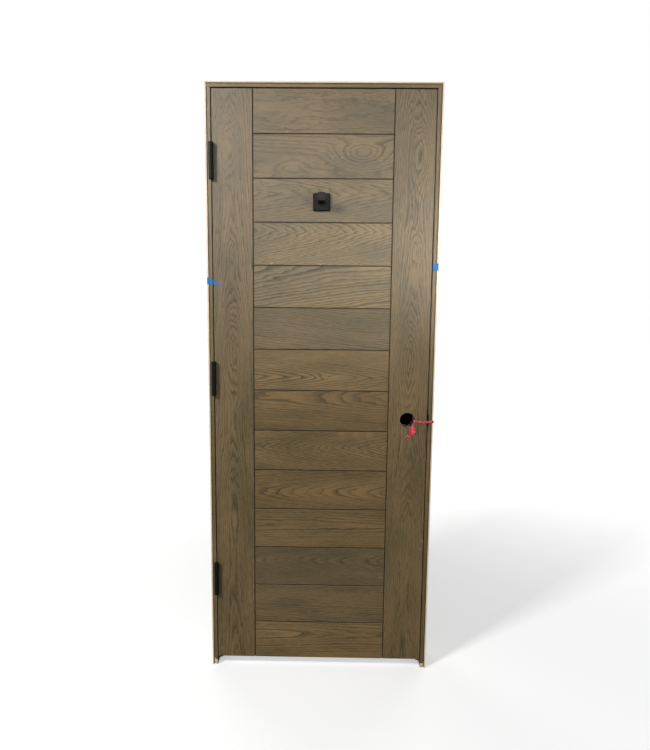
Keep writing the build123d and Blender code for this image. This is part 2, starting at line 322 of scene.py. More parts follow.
class GroupGraph(Graph):
    """A shader node group in the making: g["Name"] is an input, and setting it an output."""

    def __init__(self, name: str, inputs: dict[str, str], outputs: dict[str, str]) -> None:
        """Makes the group and its sockets.

        Args:
            name: The group's name.
            inputs: Kinds of socket, Float, Vector or Color, with the input names of that kind.
            outputs: Kinds of socket with the output names of that kind.
        """
        super().__init__(bpy.data.node_groups.new(name, "ShaderNodeTree"))
        for way, sockets in (("INPUT", inputs), ("OUTPUT", outputs)):
            for kind, labels in sockets.items():
                for label in labels.split(", "):
                    self.tree.interface.new_socket(label, in_out=way,
                                                   socket_type="NodeSocket" + kind)
        self.start = self.tree.nodes.new("NodeGroupInput")
        self.end = self.tree.nodes.new("NodeGroupOutput")

    def __getitem__(self, label: str) -> Socket:
        """An input of the group."""
        return self.start.outputs[label]

    def __setitem__(self, label: str, value: Socket) -> None:
        """Links an output of the group."""
        self.tree.links.new(value, self.end.inputs[label])


class Paint(Graph):
    """A material in the making, with its Principled shader."""

    def __init__(self, name: str) -> None:
        """Makes the material.

        Args:
            name: Its name.
        """
        self.material = bpy.data.materials.new(name)
        self.material.use_nodes = True
        super().__init__(self.material.node_tree)
        self.shader = self.tree.nodes["Principled BSDF"].inputs

    @cached_property
    def place(self) -> Socket:
        """The object coordinates."""
        return self.node("ShaderNodeTexCoord").outputs["Object"]

    def done(self, colour: Value, rough: Value, height: Socket, relief: tuple[float, float],
             shine: float = 0.5) -> Material:
        """Fills the shader's sockets.

        Args:
            colour: The base colour.
            rough: The roughness.
            height: The height of the fine relief.
            relief: The relief's strength, and its depth in metres.
            shine: The specular level.

        Returns:
            The material.
        """
        bump = self.node("ShaderNodeBump", {"Height": height, "Strength": relief[0],
                                            "Distance": relief[1]})
        self.put(self.shader["Base Color"], colour)
        self.put(self.shader["Roughness"], rough)
        self.put(self.shader["Normal"], bump.outputs[0])
        self.shader["Specular IOR Level"].default_value = shine
        return self.material


# ---- shared effects

class Effects:
    """The shader node groups that more than one finish uses, each built once.

    Noise sizes are repeats a metre, along, across and into a board. Shares of a year and of
    noise run from 0 to 1.
    """

    # oak figure
    SEED_STEP = (3.17, 1.0, 1.71)
    SWAY = (2.4, 8.0, 8.0)
    FLUTE = (8.0, 78.0, 78.0)
    RIPPLE = (10.0, 36.0, 36.0)
    PORE = (38.0, 900.0, 900.0)
    FIBRE = (42.0, 210.0, 210.0)
    CLOUD = (3.0, 11.0, 11.0)
    CREST_ROUND = 0.003
    DRIFT, DRIFT_REACH = 0.43, 0.9
    FAINTEST_YEAR = 0.45
    SPRING, BAND_FALL, LINE_FALL = (0.0, 0.07), (0.14, 0.66), (0.07, 0.26)
    PORE_EDGE, FIBRE_EDGE = (0.52, 0.68), (0.32, 0.68)

    # oak stain
    STAIN_BASE, STAIN_FIBRE = 0.10, -0.50
    STAIN_PORE = (0.16, 0.5)
    GOLD_CLEARS, LINE_DARKENS, RAW_GRAIN = 0.6, 0.40, 0.55
    CLOUD_TONE = (0.25, 0.75, 0.83, 1.17)
    CLOUD_HUE = (0.28, 0.72)
    COOL, WARM = (0.965, 1.01, 1.03), (1.035, 0.99, 0.95)
    BRIGHT, BARE_GRAIN = (1.27, 1.215, 1.12), (0.72, 0.62, 0.5)
    SATIN, PORE_ROUGH, DULL_ROUGH = (0.3, 0.7, 0.36, 0.44), 0.10, 0.85
    FIBRE_HEIGHT, PORE_DEPTH = 0.3, (0.3, 1.0)

    # worn arrises and powder coat
    PATCH, PATCH_EDGE = 34.0, 0.14
    COAT_CLOUD, COAT_SPECK, COAT_ROUGH = 55.0, 900.0, 0.16
    DUST_CLOUD, DUST_SPECK = (0.45, 0.75), (0.45, 0.7)

    def __init__(self) -> None:
        """Builds every group."""
        self.spot = self.soft_spot()
        self.figure = self.oak_figure()
        self.stain = self.oak_stain()
        self.arris = self.board_arris()
        self.coat = self.powder_coat()

    def soft_spot(self) -> Tree:
        """A rounded spot on a board that fades out from its centre.

        Returns:
            The group. Centre and Size are along, across and into the board, in metres.
        """
        g = GroupGraph("soft spot", {"Vector": "Board, Centre, Size", "Float": "Height"},
                       {"Float": "Spot"})
        away = g.vector("DIVIDE", g.vector("SUBTRACT", g["Board"], g["Centre"]), g["Size"])
        dome = g.math("EXPONENT", g.times(g.vector("DOT_PRODUCT", away, away), -1.0))
        g["Spot"] = g.times(dome, g["Height"])
        return g.tree

    def oak_figure(self) -> Tree:
        """Growth rings round a heart line that leans through the board, with pores and fibre.

        Returns:
            The group. Its Board input is the place along, across and into the board, in metres.
        """
        g = GroupGraph(
            "oak figure",
            {"Vector": "Board",
             "Float": "Seed, Heart, Depth, Lean, Ring, Sway, Flute, Ripple, Crest, Swell"},
            {"Float": "Band, Line, Pore, Fibre, Cloud"},
        )
        along, across, into = g.split(g["Board"])
        seed = g["Seed"]
        place = g.vector("ADD", g["Board"], g.scaled(self.SEED_STEP, seed))
        sway = g.split(g.noise(place, self.SWAY, detail=1.0, output="Color"))
        flute = g.noise(place, self.FLUTE, rough=0.6)
        ripple = g.noise(place, self.RIPPLE, rough=0.55)

        def moved(push: Socket, label: str) -> Socket:
            """How far a noise pushes the rings aside, in metres."""
            return g.times(g.minus(push, NOISE_MIDDLE), g[label], 2.0)

        side = g.plus(g.minus(across, g["Heart"]), moved(sway[0], "Sway"))
        deep = g.plus(g["Depth"], into, moved(sway[1], "Sway"))
        crest = g.times(g.vector("LENGTH", g.join(side, self.CREST_ROUND, 0.0)), g["Crest"])
        radius = g.plus(g.vector("LENGTH", g.join(side, deep, 0.0)), crest,
                        g.times(along, g["Lean"]))
        radius = g.plus(radius, g.plus(moved(flute, "Flute"), moved(ripple, "Ripple")))
        year = g.math("DIVIDE", g.plus(radius, g["Swell"]), g["Ring"])
        drift = g.node("ShaderNodeTexNoise",
                       {"W": g.plus(year, seed), "Scale": self.DRIFT, "Detail": 1.0},
                       noise_dimensions="1D").outputs[0]
        year = g.plus(year, g.times(drift, self.DRIFT_REACH))
        season = g.math("FRACT", year)
        chance = g.node("ShaderNodeTexWhiteNoise", {"W": g.plus(g.math("FLOOR", year), seed)},
                        noise_dimensions="1D").outputs[0]
        strength = g.fade(chance, self.FAINTEST_YEAR, 1.0)
        spring = g.span(season, *self.SPRING)
        g["Band"] = g.times(spring, g.span(season, *self.BAND_FALL, 1.0, 0.0), strength)
        g["Line"] = g.times(spring, g.span(season, *self.LINE_FALL, 1.0, 0.0), strength)
        g["Pore"] = g.span(g.noise(place, self.PORE, detail=1.0), *self.PORE_EDGE)
        g["Fibre"] = g.span(g.noise(place, self.FIBRE, rough=0.7), *self.FIBRE_EDGE)
        g["Cloud"] = g.noise(place, self.CLOUD, detail=3.0, rough=0.6)
        return g.tree

    def oak_stain(self) -> Tree:
        """Pigment that settles in the pores and the open grain, over bare wood where it is raw.

        Returns:
            The group. Dark is the colour of the open grain, Light that of the late wood.
        """
        g = GroupGraph(
            "oak stain",
            {"Float": "Band, Line, Pore, Fibre, Cloud, Gold, Calm, Contrast, Tone, "
                      "Groove, Raw, Dull",
             "Color": "Light, Dark, Groove Colour, Raw Colour"},
            {"Color": "Colour", "Float": "Roughness, Height"},
        )
        pore, cloud, light, raw = g["Pore"], g["Cloud"], g["Light"], g["Raw Colour"]
        gold = g.math("MINIMUM", g["Gold"], 1.0)
        open_grain = g.times(g["Contrast"], g.minus(1.0, g["Calm"]))
        band = g.times(g["Band"], open_grain)
        fibre = g.minus(g["Fibre"], NOISE_MIDDLE)
        share = g.plus(band, self.STAIN_BASE, g.times(fibre, self.STAIN_FIBRE),
                       g.times(pore, g.fade(band, *self.STAIN_PORE)))
        clear = g.minus(1.0, g.times(gold, self.GOLD_CLEARS))
        share = g.math("MULTIPLY", share, clear, clamp=True)
        late = g.blend(gold, light, g.vector("MULTIPLY", light, self.BRIGHT))
        colour = g.blend(share, late, g["Dark"])
        line = g.times(g["Line"], open_grain, self.LINE_DARKENS)
        tone = g.times(g.span(cloud, *self.CLOUD_TONE), g["Tone"], g.minus(1.0, line))
        hue = g.blend(g.span(cloud, *self.CLOUD_HUE), self.COOL, self.WARM)
        colour = g.scaled(g.vector("MULTIPLY", colour, hue), tone)
        colour = g.blend(g["Groove"], colour, g["Groove Colour"])
        bare = g.blend(g.times(share, self.RAW_GRAIN), raw,
                       g.vector("MULTIPLY", raw, self.BARE_GRAIN))
        g["Colour"] = g.blend(g["Raw"], colour, bare)
        rough = g.plus(g.times(pore, self.PORE_ROUGH), g.span(cloud, *self.SATIN))
        g["Roughness"] = g.fade(g.most(g["Raw"], g["Dull"]), rough, self.DULL_ROUGH)
        g["Height"] = g.minus(g.times(fibre, self.FIBRE_HEIGHT),
                              g.times(pore, g.fade(band, *self.PORE_DEPTH)))
        return g.tree

    def board_arris(self) -> Tree:
        """How near a place is to the edges of a board's box, broken up by noise.

        Returns:
            The group. Low and High are the board's corners, Width how far wear reaches, in metres.
        """
        g = GroupGraph("board arris", {"Vector": "Place, Low, High", "Float": "Width, Patch"},
                       {"Float": "Worn"})
        place, patch = g["Place"], g["Patch"]
        inside = g.vector("MINIMUM", g.vector("SUBTRACT", place, g["Low"]),
                          g.vector("SUBTRACT", g["High"], place))
        x, y, z = g.split(inside)
        middle = g.most(g.math("MINIMUM", x, y), g.math("MINIMUM", g.most(x, y), z))
        worn = g.math("SUBTRACT", 1.0, g.math("DIVIDE", middle, g["Width"]), clamp=True)
        broken = g.noise(place, self.PATCH, detail=4.0, rough=0.65)
        g["Worn"] = g.times(worn, g.span(broken, patch, g.plus(patch, self.PATCH_EDGE)))
        return g.tree

    def powder_coat(self) -> Tree:
        """A sprayed satin coat: fine orange peel, cloudy gloss and a little pale dust.

        Returns:
            The group. Grit is the size of the peel in repeats a metre.
        """
        g = GroupGraph(
            "powder coat",
            {"Vector": "Place", "Float": "Grit, Dusty, Gloss", "Color": "Base, Dust"},
            {"Color": "Colour", "Float": "Roughness, Height"},
        )
        cloud = g.noise(g["Place"], self.COAT_CLOUD, detail=4.0, rough=0.6)
        speck = g.noise(g["Place"], self.COAT_SPECK)
        dust = g.times(g.span(cloud, *self.DUST_CLOUD), g.span(speck, *self.DUST_SPECK))
        g["Colour"] = g.blend(g.times(dust, g["Dusty"]), g["Base"], g["Dust"])
        g["Roughness"] = g.plus(g["Gloss"], g.times(cloud, self.COAT_ROUGH))
        g["Height"] = g.noise(g["Place"], g["Grit"])
        return g.tree


# ---- finishes

@dataclass(frozen=True)
class Spot:
    """A soft spot on a board: its place, its reach along and across in millimetres, its strength.

    The strength is a height in millimetres where the spot bulges the rings, else a share.
    """

    along: float
    across: float
    length: float
    width: float
    height: float


@dataclass(frozen=True)
class Figure:
    """How one board was sawn from its log and how it took the stain, in millimetres; its tone, warm
    and gold spots also carry painted light.
    """

    seed: float
    heart: float
    depth: float
    lean: float
    ring: float
    sway: float
    flute: float
    contrast: float = 1.0
    tone: float = 1.0
    warm: float = 0.0
    ripple: float = 0.0
    crest: float = 0.0
    swells: tuple[Spot, ...] = ()
    golds_and_painted_light: tuple[Spot, ...] = ()
    calms: tuple[Spot, ...] = ()


@dataclass(frozen=True)
class Chip:
    """A small place where the finish is knocked off, across and up the door, in millimetres."""

    x: float
    z: float
    radius: float


@dataclass(frozen=True)
class Board:
    """One piece of timber: its CAD node, the way its grain runs and its box in millimetres."""

    node: str
    grain: Grain
    figure: Figure
    low: Point
    high: Point

    @property
    def origin(self) -> Point:
        """Where the board's own place is counted from: the middle of its box, on the front face.

        Returns:
            The place, in metres.
        """
        middle = [(a + b) / 2 * MM for a, b in zip(self.low, self.high)]
        middle[self.grain.value[2]] = self.low[self.grain.value[2]] * MM
        return tuple(middle)


@dataclass(frozen=True)
class OakFinish:
    """Stained and sealed oak. Colours are linear, lengths in metres."""

    light: Colour = (0.231, 0.161, 0.0735)
    dark: Colour = (0.123, 0.0885, 0.0325)
    groove: Colour = (0.060, 0.040, 0.021)
    raw: Colour = (0.60, 0.44, 0.27)
    gloss: float = 1.0
    relief: tuple[float, float] = (0.35, 0.0004)
    # Tone where shade is painted in, as in the strike scoop.
    painted_shade_tone: float = 0.12
    worn: float = 0.0016
    worn_patch: float = 0.62
    worn_raw: float = 0.7
    spot_depth: float = 0.5
    warm_red: float = 0.25
    warm_blue: float = 0.45

    def tinted(self, colour: Colour, warm: float) -> Colour:
        """A colour moved towards brown by a share, or towards grey below nought."""
        red, green, blue = colour
        return (red * (1 + self.warm_red * warm), green, blue * (1 - self.warm_blue * warm))

    def spotted(self, g: Graph, tree: Tree, local: Socket, spots: tuple[Spot, ...],
                unit: float) -> Value:
        """The sum of some soft spots.

        Args:
            g: The material's graph.
            tree: The soft spot's group.
            local: The place along, across and into the board.
            spots: The spots.
            unit: What one of their strength is worth.

        Returns:
            The sum at each place.
        """
        total: Value = 0.0
        for spot in spots:
            centre = (spot.along * MM, spot.across * MM, 0.0)
            size = (spot.length * MM, spot.width * MM, self.spot_depth)
            dome = g.group(tree, Board=local, Centre=centre, Size=size, Height=spot.height * unit)
            total = g.plus(total, dome["Spot"])
        return total

    def material(self, board: Board, effects: Effects, zones: "Zones") -> Material:
        """The board's own material.

        Args:
            board: The piece of timber.
            effects: The shared node groups.
            zones: Where the board is raw, where its grooves are coloured darker and where shade is
                painted.

        Returns:
            The material.
        """
        g = Paint("oak_" + board.node)
        figure = board.figure
        parts = g.split(g.vector("SUBTRACT", g.place, board.origin))
        local = g.join(*(parts[axis] for axis in board.grain.value))
        swell, gold, calm = (self.spotted(g, effects.spot, local, spots, unit) for spots, unit in
                             ((figure.swells, MM), (figure.golds_and_painted_light, 1.0), (figure.calms, 1.0)))
        rings = g.group(effects.figure, Board=local, Seed=figure.seed, Heart=figure.heart * MM,
                        Depth=figure.depth * MM, Lean=figure.lean, Ring=figure.ring * MM,
                        Sway=figure.sway * MM, Flute=figure.flute * MM, Crest=figure.crest,
                        Ripple=figure.ripple * MM, Swell=swell)
        worn = g.group(effects.arris, Place=g.place, Low=metres(board.low),
                       High=metres(board.high), Width=self.worn, Patch=self.worn_patch)["Worn"]
        zone = zones.masks(g, g.place, board)
        stain = g.group(effects.stain, **{output.name: output for output in rings},
                        Gold=gold, Calm=calm, Light=self.tinted(self.light, figure.warm),
                        Dark=self.tinted(self.dark, figure.warm), Contrast=figure.contrast,
                        Tone=g.fade(zone.shade, figure.tone, self.painted_shade_tone), Groove=zone.groove,
                        Groove_Colour=self.groove, Raw_Colour=self.raw, Dull=zone.dull,
                        Raw=g.most(zone.raw, g.times(worn, self.worn_raw)))
        return g.done(stain["Colour"], stain["Roughness"], stain["Height"], self.relief,
                      self.gloss)


@dataclass(frozen=True)
class CoatFinish:
    """Satin powder coat on steel."""

    name: str
    base: Colour = (0.0130, 0.0136, 0.0106)
    dust: Colour = (0.06, 0.06, 0.05)
    dusty: float = 0.35
    gloss: float = 0.34
    grit: float = 1400.0
    relief: tuple[float, float] = (0.12, 0.0003)
    shine: float = 0.12

    def material(self, effects: Effects) -> Material:
        """The coat's material.

        Args:
            effects: The shared node groups.

        Returns:
            The material.
        """
        g = Paint(self.name)
        coat = g.group(effects.coat, Place=g.place, Grit=self.grit, Base=self.base,
                       Dust=self.dust, Dusty=self.dusty, Gloss=self.gloss)
        return g.done(coat["Colour"], coat["Roughness"], coat["Height"], self.relief, self.shine)


@dataclass(frozen=True)
class FilmFinish:
    """Red plastic film of the carriage tie, thin and paler where it is stretched, and painted paler
    on its fold crests as a highlight.

    Inside the cross bore its colour is darkened, from the rim to a depth of sunk millimetres:
    painted shade.
    """

    name: str = "tie_film"
    deep: Colour = (0.40, 0.006, 0.028)
    pale: Colour = (0.90, 0.13, 0.18)
    frayed: Colour = (0.50, 0.20, 0.16)
    frayed_alpha: float = 0.75
    crest_highlight_share: float = 0.7
    cloud: float = 130.0
    cloud_share: tuple[float, ...] = (0.42, 0.62, -0.15, 0.6)
    rough: tuple[float, ...] = (0.2, 0.8, 0.28, 0.48)
    crease: float = 700.0
    relief: tuple[float, float] = (0.35, 0.0004)
    # Emission strength of the film's own colour: a painted glow, for the film is no lamp.
    painted_glow: float = 0.10
    sunk: float = 5.0
    painted_bore_shade: float = 0.12

    def material(self) -> Material:
        """The film's material, which follows each ribbon's own ridge and thin attributes.

        Returns:
            The material.
        """
        g = Paint(self.name)
        ridge, thin = (g.node("ShaderNodeAttribute", attribute_name=label).outputs["Fac"]
                       for label in ("ridge", "thin"))
        cloud = g.noise(g.place, self.cloud, rough=0.6)
        # Painted highlight: the film is paler on its fold crests, and stays deep red in the folds
        # between.
        share = g.math("ADD", g.times(ridge, self.crest_highlight_share),
                       g.span(cloud, *self.cloud_share), clamp=True)
        colour = g.blend(thin, g.blend(share, self.deep, self.pale), self.frayed)
        across, into, _ = g.split(g.place)
        # Painted shade: the film is darkened inside the cross bore.
        sunk = g.times(g.span(into, DOOR.front * MM, (DOOR.front + self.sunk) * MM),
                       g.below(across, (DOOR.lock_x + DOOR.bore) * MM))
        colour = g.scaled(colour, g.fade(sunk, 1.0, self.painted_bore_shade))
        g.put(g.shader["Alpha"], g.fade(thin, 1.0, self.frayed_alpha))
        # Painted glow: the film emits its own colour to look more brightly lit.
        g.put(g.shader["Emission Color"], colour)
        g.shader["Emission Strength"].default_value = self.painted_glow
        crease = g.noise(g.place, self.crease, detail=4.0, rough=0.7)
        return g.done(colour, g.span(cloud, *self.rough), crease, self.relief)


@dataclass(frozen=True)
class TapeFinish:
    """Blue crepe paper tape."""

    name: str = "tape_blue"
    base: Colour = (0.028, 0.160, 0.460)
    pale: Colour = (0.055, 0.225, 0.550)
    crepe: Point = (1500.0, 1500.0, 160.0)
    crepe_share: float = 0.5
    cloud: float = 120.0
    cloud_share: tuple[float, ...] = (0.3, 0.7, -0.25, 0.35)
    rough: tuple[float, ...] = (0.2, 0.8, 0.55, 0.75)
    relief: tuple[float, float] = (0.6, 0.0003)
    shine: float = 0.15

    def material(self) -> Material:
        """The tape's material: paper fibre, and creases across its length.

        Returns:
            The material.
        """
        g = Paint(self.name)
        crepe = g.noise(g.place, self.crepe, rough=0.6)
        cloud = g.noise(g.place, self.cloud, detail=3.0, rough=0.6)
        share = g.math("ADD", g.times(crepe, self.crepe_share),
                       g.span(cloud, *self.cloud_share), clamp=True)
        return g.done(g.blend(share, self.base, self.pale), g.span(cloud, *self.rough), crepe,
                      self.relief, self.shine)


# ---- where timber is raw or dark

@dataclass(frozen=True)
class Masks:
    """How far each place is in a groove, raw, in painted shade and dull, from 0 to 1."""

    groove: Value = 0.0
    raw: Value = 0.0
    shade: Value = 0.0
    dull: Value = 0.0


class Zones:
    """Tells where a board is unfinished, where its grooves are coloured darker and where shade is
    painted. This one says nowhere.
    """

    def masks(self, g: Graph, place: Socket, board: Board) -> Masks:
        """The masks of a board.

        Args:
            g: The material's graph.
            place: Object coordinates.
            board: The board.

        Returns:
            The masks.
        """
        return Masks()


@dataclass(frozen=True)
class LeafZones(Zones):
    """Stain in the leaf's grooves, dull arrises, bare wood in the bores, and chips."""

    chips: tuple[Chip, ...] = ()
    skin: float = 0.7
    eased: tuple[float, float] = (0.04, 0.2)
    bored: float = 0.26
    bore_wall: float = 0.15
    chip_grit: float = 900.0
    chip_ragged: float = 4.0
    chip_core: float = 0.6

    def masks(self, g: Graph, place: Socket, board: Board) -> Masks:
        """The masks of a leaf board.

        Args:
            g: The material's graph.
            place: Object coordinates.
            board: The board.

        Returns:
            The masks.
        """
        x, y, z = g.split(place)
        half = (DOOR.leaf_back - DOOR.front) / 2
        off = g.minus(y, DOOR.leaf_middle * MM)
        under = g.minus(half * MM, g.math("ABSOLUTE", off))
        groove = g.span(under, self.skin * MM, 2 * self.skin * MM)
        raw: Value = 0.0
        for chip in self.chips:
            beside = board.low[0] <= chip.x <= board.high[0]
            if beside and board.low[2] <= chip.z <= board.high[2]:
                raw = g.most(raw, self.spot(g, place, chip))
        if board.node == "lock_stile":
            up = g.minus(z, DOOR.lock_z * MM)
            bore = g.vector("LENGTH", g.join(g.minus(x, DOOR.lock_x * MM), 0.0, up))
            latch = g.vector("LENGTH", g.join(0.0, off, up))
            wall = g.times(g.below(bore, (DOOR.bore + self.bore_wall) * MM), self.bored)
            raw = g.most(raw, wall, g.below(latch, (DOOR.latch_bore + self.bore_wall) * MM))
        return Masks(groove, raw, dull=g.span(under, *(depth * MM for depth in self.eased)))

    def spot(self, g: Graph, place: Socket, chip: Chip) -> Socket:
        """The ragged mask of one chip.

        Args:
            g: The material's graph.
            place: Object coordinates.
            chip: The chip.

        Returns:
            The mask.
        """
        grit = g.noise(place, self.chip_grit, rough=0.6, output="Color")
        ragged = g.vector("SUBTRACT", grit, (NOISE_MIDDLE,) * 3)
        reach = self.chip_ragged * MM
        moved = g.vector("ADD", place, g.vector("MULTIPLY", ragged, (reach, 0.0, reach)))
        away = g.vector("DISTANCE", g.vector("MULTIPLY", moved, (1.0, 0.0, 1.0)),
                        metres((chip.x, 0.0, chip.z)))
        return g.span(away, chip.radius * MM, self.chip_core * chip.radius * MM)


@dataclass(frozen=True)
class JambZones(Zones):
    """The jamb's unfinished outer strip, the kerf beside it, its split foot and painted shade in
    the strike scoop.
    """

    axis: int
    outer: float
    inward: float
    chip_height: float = 0.0
    chip_fall: float = 8.0
    chip_depth: float = 8.0
    scoop: tuple[float, float] | None = None
    scoop_reach: float = 7.0
    grit: float = 300.0
    ragged: float = 1.2
    ragged_foot: float = 7.0
    edge: float = 0.1
    skin: float = 0.2

    def masks(self, g: Graph, place: Socket, board: Board) -> Masks:
        """The masks of a jamb board.

        Args:
            g: The material's graph.
            place: Object coordinates.
            board: The board.

        Returns:
            The masks.
        """
        parts = g.split(place)
        inset, kerf = DOOR.jamb_kerf_inset, DOOR.jamb_kerf
        middle = inset + kerf / 2
        reach = g.times(g.minus(parts[self.axis], self.outer * MM), self.inward)
        grit = g.noise(place, self.grit, detail=3.0, rough=0.6)
        ragged = g.times(g.minus(grit, NOISE_MIDDLE), self.ragged * MM)
        raw = g.span(g.plus(reach, ragged), (inset + self.edge) * MM, (inset - self.edge) * MM)
        under = g.near(parts[1], 0.0, (-DOOR.front - self.skin) * MM)
        groove = g.times(g.near(reach, middle * MM, (kerf / 2 + self.edge) * MM), under)
        if self.chip_height:
            across = g.minus(reach, middle * MM)
            fall = self.chip_fall / (DOOR.jamb_thick - middle)
            level = g.plus(parts[2], g.times(across, fall), g.times(ragged, self.ragged_foot))
            foot = g.times(g.below(level, self.chip_height * MM), g.above(across, 0.0),
                           g.below(parts[1], (DOOR.front + self.chip_depth) * MM))
            raw = g.most(raw, foot)
        # Painted shade: the strike scoop's surfaces are darkened to stand in for the shadow in that
        # recess.
        shade: Value = 0.0
        if self.scoop is not None:
            low, high = self.scoop
            shade = g.times(g.near(parts[2], (low + high) / 2 * MM, (high - low) / 2 * MM),
                            g.above(reach, (DOOR.jamb_thick - self.scoop_reach) * MM), under)
        return Masks(groove, raw, shade, groove)


# ---- mesh helpers

def add_object(name: str, data: bpy.types.ID, material: Material | None = None) -> Object:
    """A new object at the origin.

    Args:
        name: The piece's name.
        data: Its mesh, light or camera.
        material: Its finish.

    Returns:
        The object.
    """
    piece = bpy.data.objects.new(name, data)
    bpy.context.scene.collection.objects.link(piece)
    if material is not None:
        data.materials.append(material)
    return piece


def plain_mesh(name: str, points: list[Point], faces: list[tuple[int, ...]]) -> Mesh:
    """A mesh from points and faces.

    Args:
        name: The mesh's name.
        points: Its points, in metres.
        faces: The point numbers of each face.

    Returns:
        The mesh.
    """
    mesh = bpy.data.meshes.new(name)
    mesh.from_pydata([tuple(p) for p in points], [], faces)
    return mesh


def tube_mesh(name: str, points: list[Point], sides: int, smooth: bool = True) -> Mesh:
    """A closed tube with its faces turned outwards.

    Args:
        name: The mesh's name.
        points: Its points ring by ring, in metres.
        sides: How many points each ring has.
        smooth: Whether it is shaded smooth.

    Returns:
        The mesh.
    """
    last = len(points) - sides
    faces = []
    for ring in range(0, last, sides):
        for step in range(sides):
            after = (step + 1) % sides
            faces.append((ring + step, ring + after, ring + sides + after, ring + sides + step))
    caps = [tuple(range(sides - 1, -1, -1)), tuple(range(last, len(points)))]
    mesh = plain_mesh(name, points, faces + caps)
    work = bmesh.new()
    work.from_mesh(mesh)
    bmesh.ops.recalc_face_normals(work, faces=work.faces)
    for face in work.faces:
        face.smooth = smooth
    work.to_mesh(mesh)
    work.free()
    return mesh


def settle(piece: Object) -> Object:
    """Turns a piece with live modifiers into a plain mesh.

    Args:
        piece: The object.

    Returns:
        The same object, with its modifiers applied and removed.
    """
    graph = bpy.context.evaluated_depsgraph_get()
    mesh = bpy.data.meshes.new_from_object(piece.evaluated_get(graph))
    piece.modifiers.clear()
    piece.data = mesh
    return piece


def place_piece(piece: Object, body: Body, slot: Slot, *nodes: str) -> None:
    """Rides a piece on its body, hides the CAD nodes that it stands for, and logs it with its slot.

    Args:
        piece: The object.
        body: The body it moves with.
        slot: The record's material slot.
        *nodes: CAD nodes that it stands for.
    """
    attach(piece, body.value)
    if nodes:
        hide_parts(*nodes)
    log.info("%s rides on %s, slot %s", piece.name, body.value, slot.value)


def dress_node(node: str, material: Material) -> None:
    """Gives a CAD node its finish.

    Args:
        node: The node's name.
        material: The finish.
    """
    piece = frame["nodes"][node]
    if not piece.material_slots:
        piece.data.materials.append(material)
    for entry in piece.material_slots:
        entry.material = material
    log.info("%s wears %s", node, material.name)


# ---- the leaf

